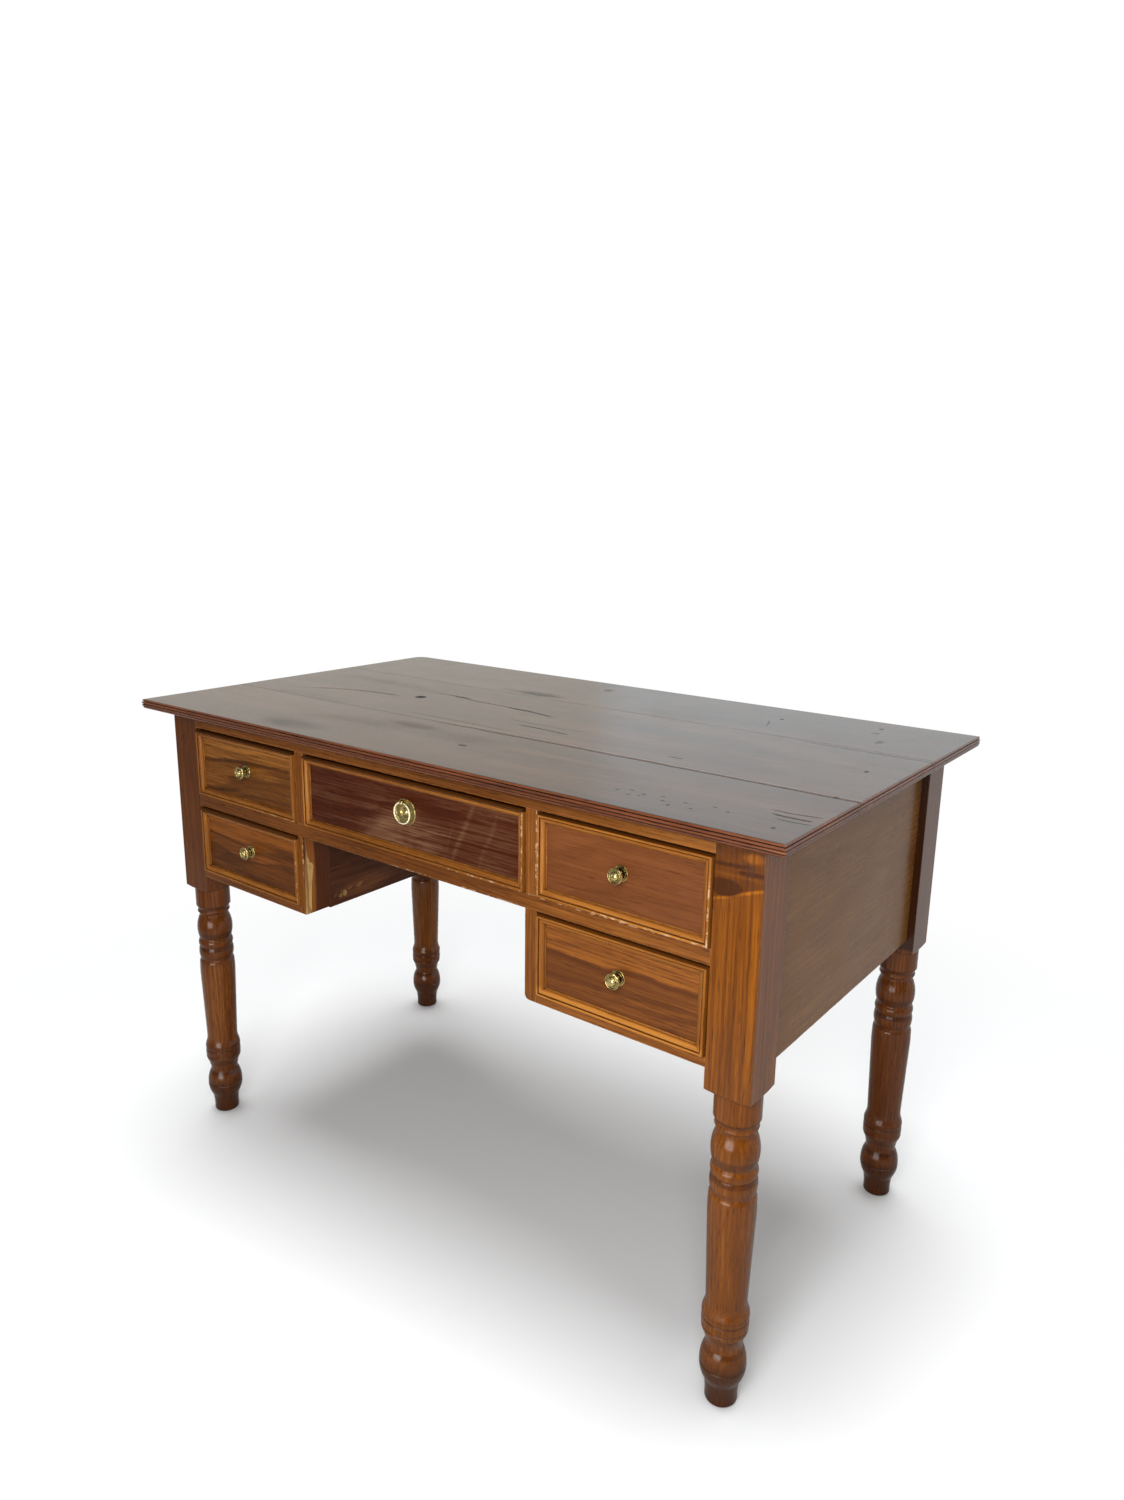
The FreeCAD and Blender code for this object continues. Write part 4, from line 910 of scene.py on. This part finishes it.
# %% Four knobs
KNOB_ROWS = ((0, 0), (0.5, 0), (0.5, 0.05), (0.38, 0.09, 0.34, 0.18), (0.34, 0.36),
             (0.42, 0.47, 0.64, 0.51), (0.87, 0.56, 0.97, 0.66), (1.0, 0.72, 0.97, 0.78),
             (0.91, 0.83, 0.85, 0.79), (0.8, 0.74, 0.74, 0.73), (0.62, 0.73), (0.57, 0.75, 0.53, 0.82),
             (0.38, 0.96, 0.06, 1.0), (0, 1))
ROSE_ROWS = ((0, 0), (1, 0), (1.0, 0.35), (0.97, 0.65, 0.88, 0.75), (0.76, 0.75),
             (0.71, 0.82, 0.68, 1.0), (0, 1))
KNOB_RADIUS, KNOB_REACH, ROSE_RADIUS, ROSE_REACH = 10.75, 15.0, 10.5, 3.0
FIELD_FACE = -0.294
SHANK_RADIUS, SHANK_END = 0.002, -0.0215
NUT_RADIUS, NUT_FACE = 0.0043, -0.018

rose = smooth_outline(ROSE_ROWS, ROSE_RADIUS, ROSE_REACH)
head = smooth_outline(KNOB_ROWS, KNOB_RADIUS, KNOB_REACH)
head = [(radius, reach + ROSE_REACH * MM) for radius, reach in head]
shank = [(0.0, SHANK_END), (SHANK_RADIUS, SHANK_END), (SHANK_RADIUS, 0.0), (0.0, 0.0)]
nut = [(SHANK_RADIUS, SHANK_END), (NUT_RADIUS, SHANK_END), (NUT_RADIUS, NUT_FACE), (SHANK_RADIUS, NUT_FACE)]
for name in FIELDS:
    if name != "centre":
        low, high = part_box(name + "_knob")
        middle = ((low.x + high.x) / 2, FIELD_FACE, (low.z + high.z) / 2)
        knob = spun(name + "_brass_knob", (rose, head, shank, nut), middle, brass, name + "_drawer",
                    name + "_knob")
        knob_card.light_linking.receiver_collection.objects.link(knob)
print("four knobs spun, reaching", ROSE_REACH + KNOB_REACH, "mm")

# %% Plate and ring of the wide drawer
PLATE_ROWS = ((0, 0), (1, 0), (1.0, 0.3), (0.96, 0.55, 0.92, 0.34), (0.56, 0.34),
              (0.55, 0.57, 0.5, 0.7), (0.45, 0.78, 0.4, 0.7), (0.36, 0.53, 0.32, 0.5),
              (0.27, 0.54, 0.24, 0.7), (0.14, 0.92, 0.04, 1.0), (0, 1))
PLATE_RADIUS, PLATE_REACH = 20.0, 4.5
WIRE_RADIUS = 0.0016
WIRE_STEPS = 20

low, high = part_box("centre_pull_plate")
plate = smooth_outline(PLATE_ROWS, PLATE_RADIUS, PLATE_REACH)
spun("centre_brass_plate", [plate], (0.0, FIELD_FACE, (low.z + high.z) / 2), brass, "centre_drawer",
     "centre_pull_plate")
low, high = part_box("centre_pull_ring")
hoop = (high.z - low.z) / 2 - WIRE_RADIUS
turns = [2 * math.pi * step / WIRE_STEPS for step in range(WIRE_STEPS + 1)]
wire = [(hoop + WIRE_RADIUS * math.cos(a), WIRE_RADIUS * math.sin(a)) for a in turns]
ring = spun("centre_brass_ring", [wire], (low + high) / 2, rubbed_brass, "pull_ring", "centre_pull_ring")
ring_card.light_linking.receiver_collection.objects.link(ring)
dress(brass, "centre_pull_post")
print("ring of", round(2 * (hoop + WIRE_RADIUS) / MM, 1), "mm")

# %% [markdown]
# ## Old damage
# The corner of the left stile has split off beside the kneehole, and the far left corner of the top is worn
# round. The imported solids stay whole, since a part for a library should be sound. The damage is cut here from
# copies of them, and the split is left as raw, pale wood.

# %% Cut a corner from a copy
WELD = 0.001 * MM
WOOD_ARRIS = math.radians(25)


def slices_to_mesh(slices):
    """A closed cutter from slices of as many corners each; a slice is (height, [(x, y), ...]) in mm."""
    mesh = bmesh.new()
    rings = [[mesh.verts.new((x * MM, y * MM, z * MM)) for x, y in corners] for z, corners in slices]
    for lower, upper in zip(rings, rings[1:]):
        for step in range(len(lower)):
            after = (step + 1) % len(lower)
            mesh.faces.new((lower[step], lower[after], upper[after], upper[step]))
    mesh.faces.new(rings[0])
    mesh.faces.new(rings[-1])
    bmesh.ops.recalc_face_normals(mesh, faces=mesh.faces[:])
    return kept_mesh(mesh, "cutter")


def chipped(name, node, slices, inside):
    """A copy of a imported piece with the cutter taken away; the cut faces wear the inside finish."""
    source = desk[node]
    mesh = bmesh.new()
    mesh.from_mesh(source.data)
    mesh.transform(source.matrix_world)
    bmesh.ops.remove_doubles(mesh, verts=mesh.verts[:], dist=WELD)
    whole = kept_mesh(mesh, name)
    cutter = put("cutter", slices_to_mesh(slices))
    piece = put(name, whole)
    for data in (whole, cutter.data):
        data.materials.clear()
        data.materials.append(source.data.materials[0])
        data.materials.append(inside)
    cutter.data.polygons.foreach_set("material_index", [1] * len(cutter.data.polygons))
    chip = piece.modifiers.new("chip", "BOOLEAN")
    chip.operation, chip.solver, chip.object = "DIFFERENCE", "EXACT", cutter
    cut = piece.evaluated_get(bpy.context.evaluated_depsgraph_get())
    piece.data = bpy.data.meshes.new_from_object(cut)
    piece.modifiers.clear()
    bpy.data.objects.remove(cutter)
    piece.data.set_sharp_from_angle(angle=WOOD_ARRIS)
    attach(piece, "carcass")
    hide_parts(node)
    return piece


print("cutter ready")

# %% Split the left stile
SPLIT = ((470, 9.5, 7.0), (482, 9.0, 7.5), (496, 8.0, 8.0), (510, 7.0, 9.0), (524, 6.5, 10.5),
         (538, 6.0, 12.5), (549, 5.5, 15.0), (556, 5.0, 17.0), (560, 4.5, 16.0), (565, 3.5, 8.0),
         (574, 2.4, 3.0), (586, 0.5, 0.6))
SPLIT_BULGE, CLEAR = (0.35, 0.4), 1.0
RAW_TONES = ((0.22, 0.11, 0.03), (0.48, 0.29, 0.10), (0.66, 0.46, 0.20))
RAW_MARKS = {"zx": ((over, ((480, -226), (540, -227.5), (575, -229)), 2, -0.9),)}
RAW_RINGS = {**UPRIGHT_RINGS, "width": 0.004, "drift": 0.02, "ripple": 0.003}
raw_finish = wood("raw_split_wood", "z", RAW_TONES, RAW_RINGS, rough=(0.55, 0.70), shine=0.2, wear=0.0,
                  hollow_shade_and_dirt=0.4, marks=RAW_MARKS, wander=3.0)
low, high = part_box("stile_left")
edge_x, face_y = high.x / MM, low.y / MM
slices = [(z, ((edge_x - across, face_y - CLEAR), (edge_x + CLEAR, face_y - CLEAR),
               (edge_x + CLEAR, face_y + deep),
               (edge_x - SPLIT_BULGE[0] * across, face_y + SPLIT_BULGE[1] * deep)))
          for z, across, deep in SPLIT]
split = chipped("split_stile", "stile_left", slices, raw_finish)
print("split stile of", len(split.data.polygons), "faces")

# %% Round the far corner of the top
CORNER_RADIUS = 25.0
CORNER_STEPS = 10
BEYOND = 2.0

low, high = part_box("top_board_back")
side_x, back_y = low.x / MM, high.y / MM
arc = [(side_x + CORNER_RADIUS * (1 - math.cos(a)), back_y - CORNER_RADIUS * (1 - math.sin(a)))
       for a in (0.5 * math.pi * step / CORNER_STEPS for step in range(CORNER_STEPS + 1))]
outline = [(side_x - BEYOND, back_y - CORNER_RADIUS), *arc, (side_x + CORNER_RADIUS, back_y + BEYOND),
           (side_x - BEYOND, back_y + BEYOND)]
slices = [(low.z / MM - BEYOND, outline), (high.z / MM + BEYOND, outline)]
worn = chipped("worn_back_board", "top_board_back", slices, top_finish)
print("worn corner of", len(worn.data.polygons), "faces")
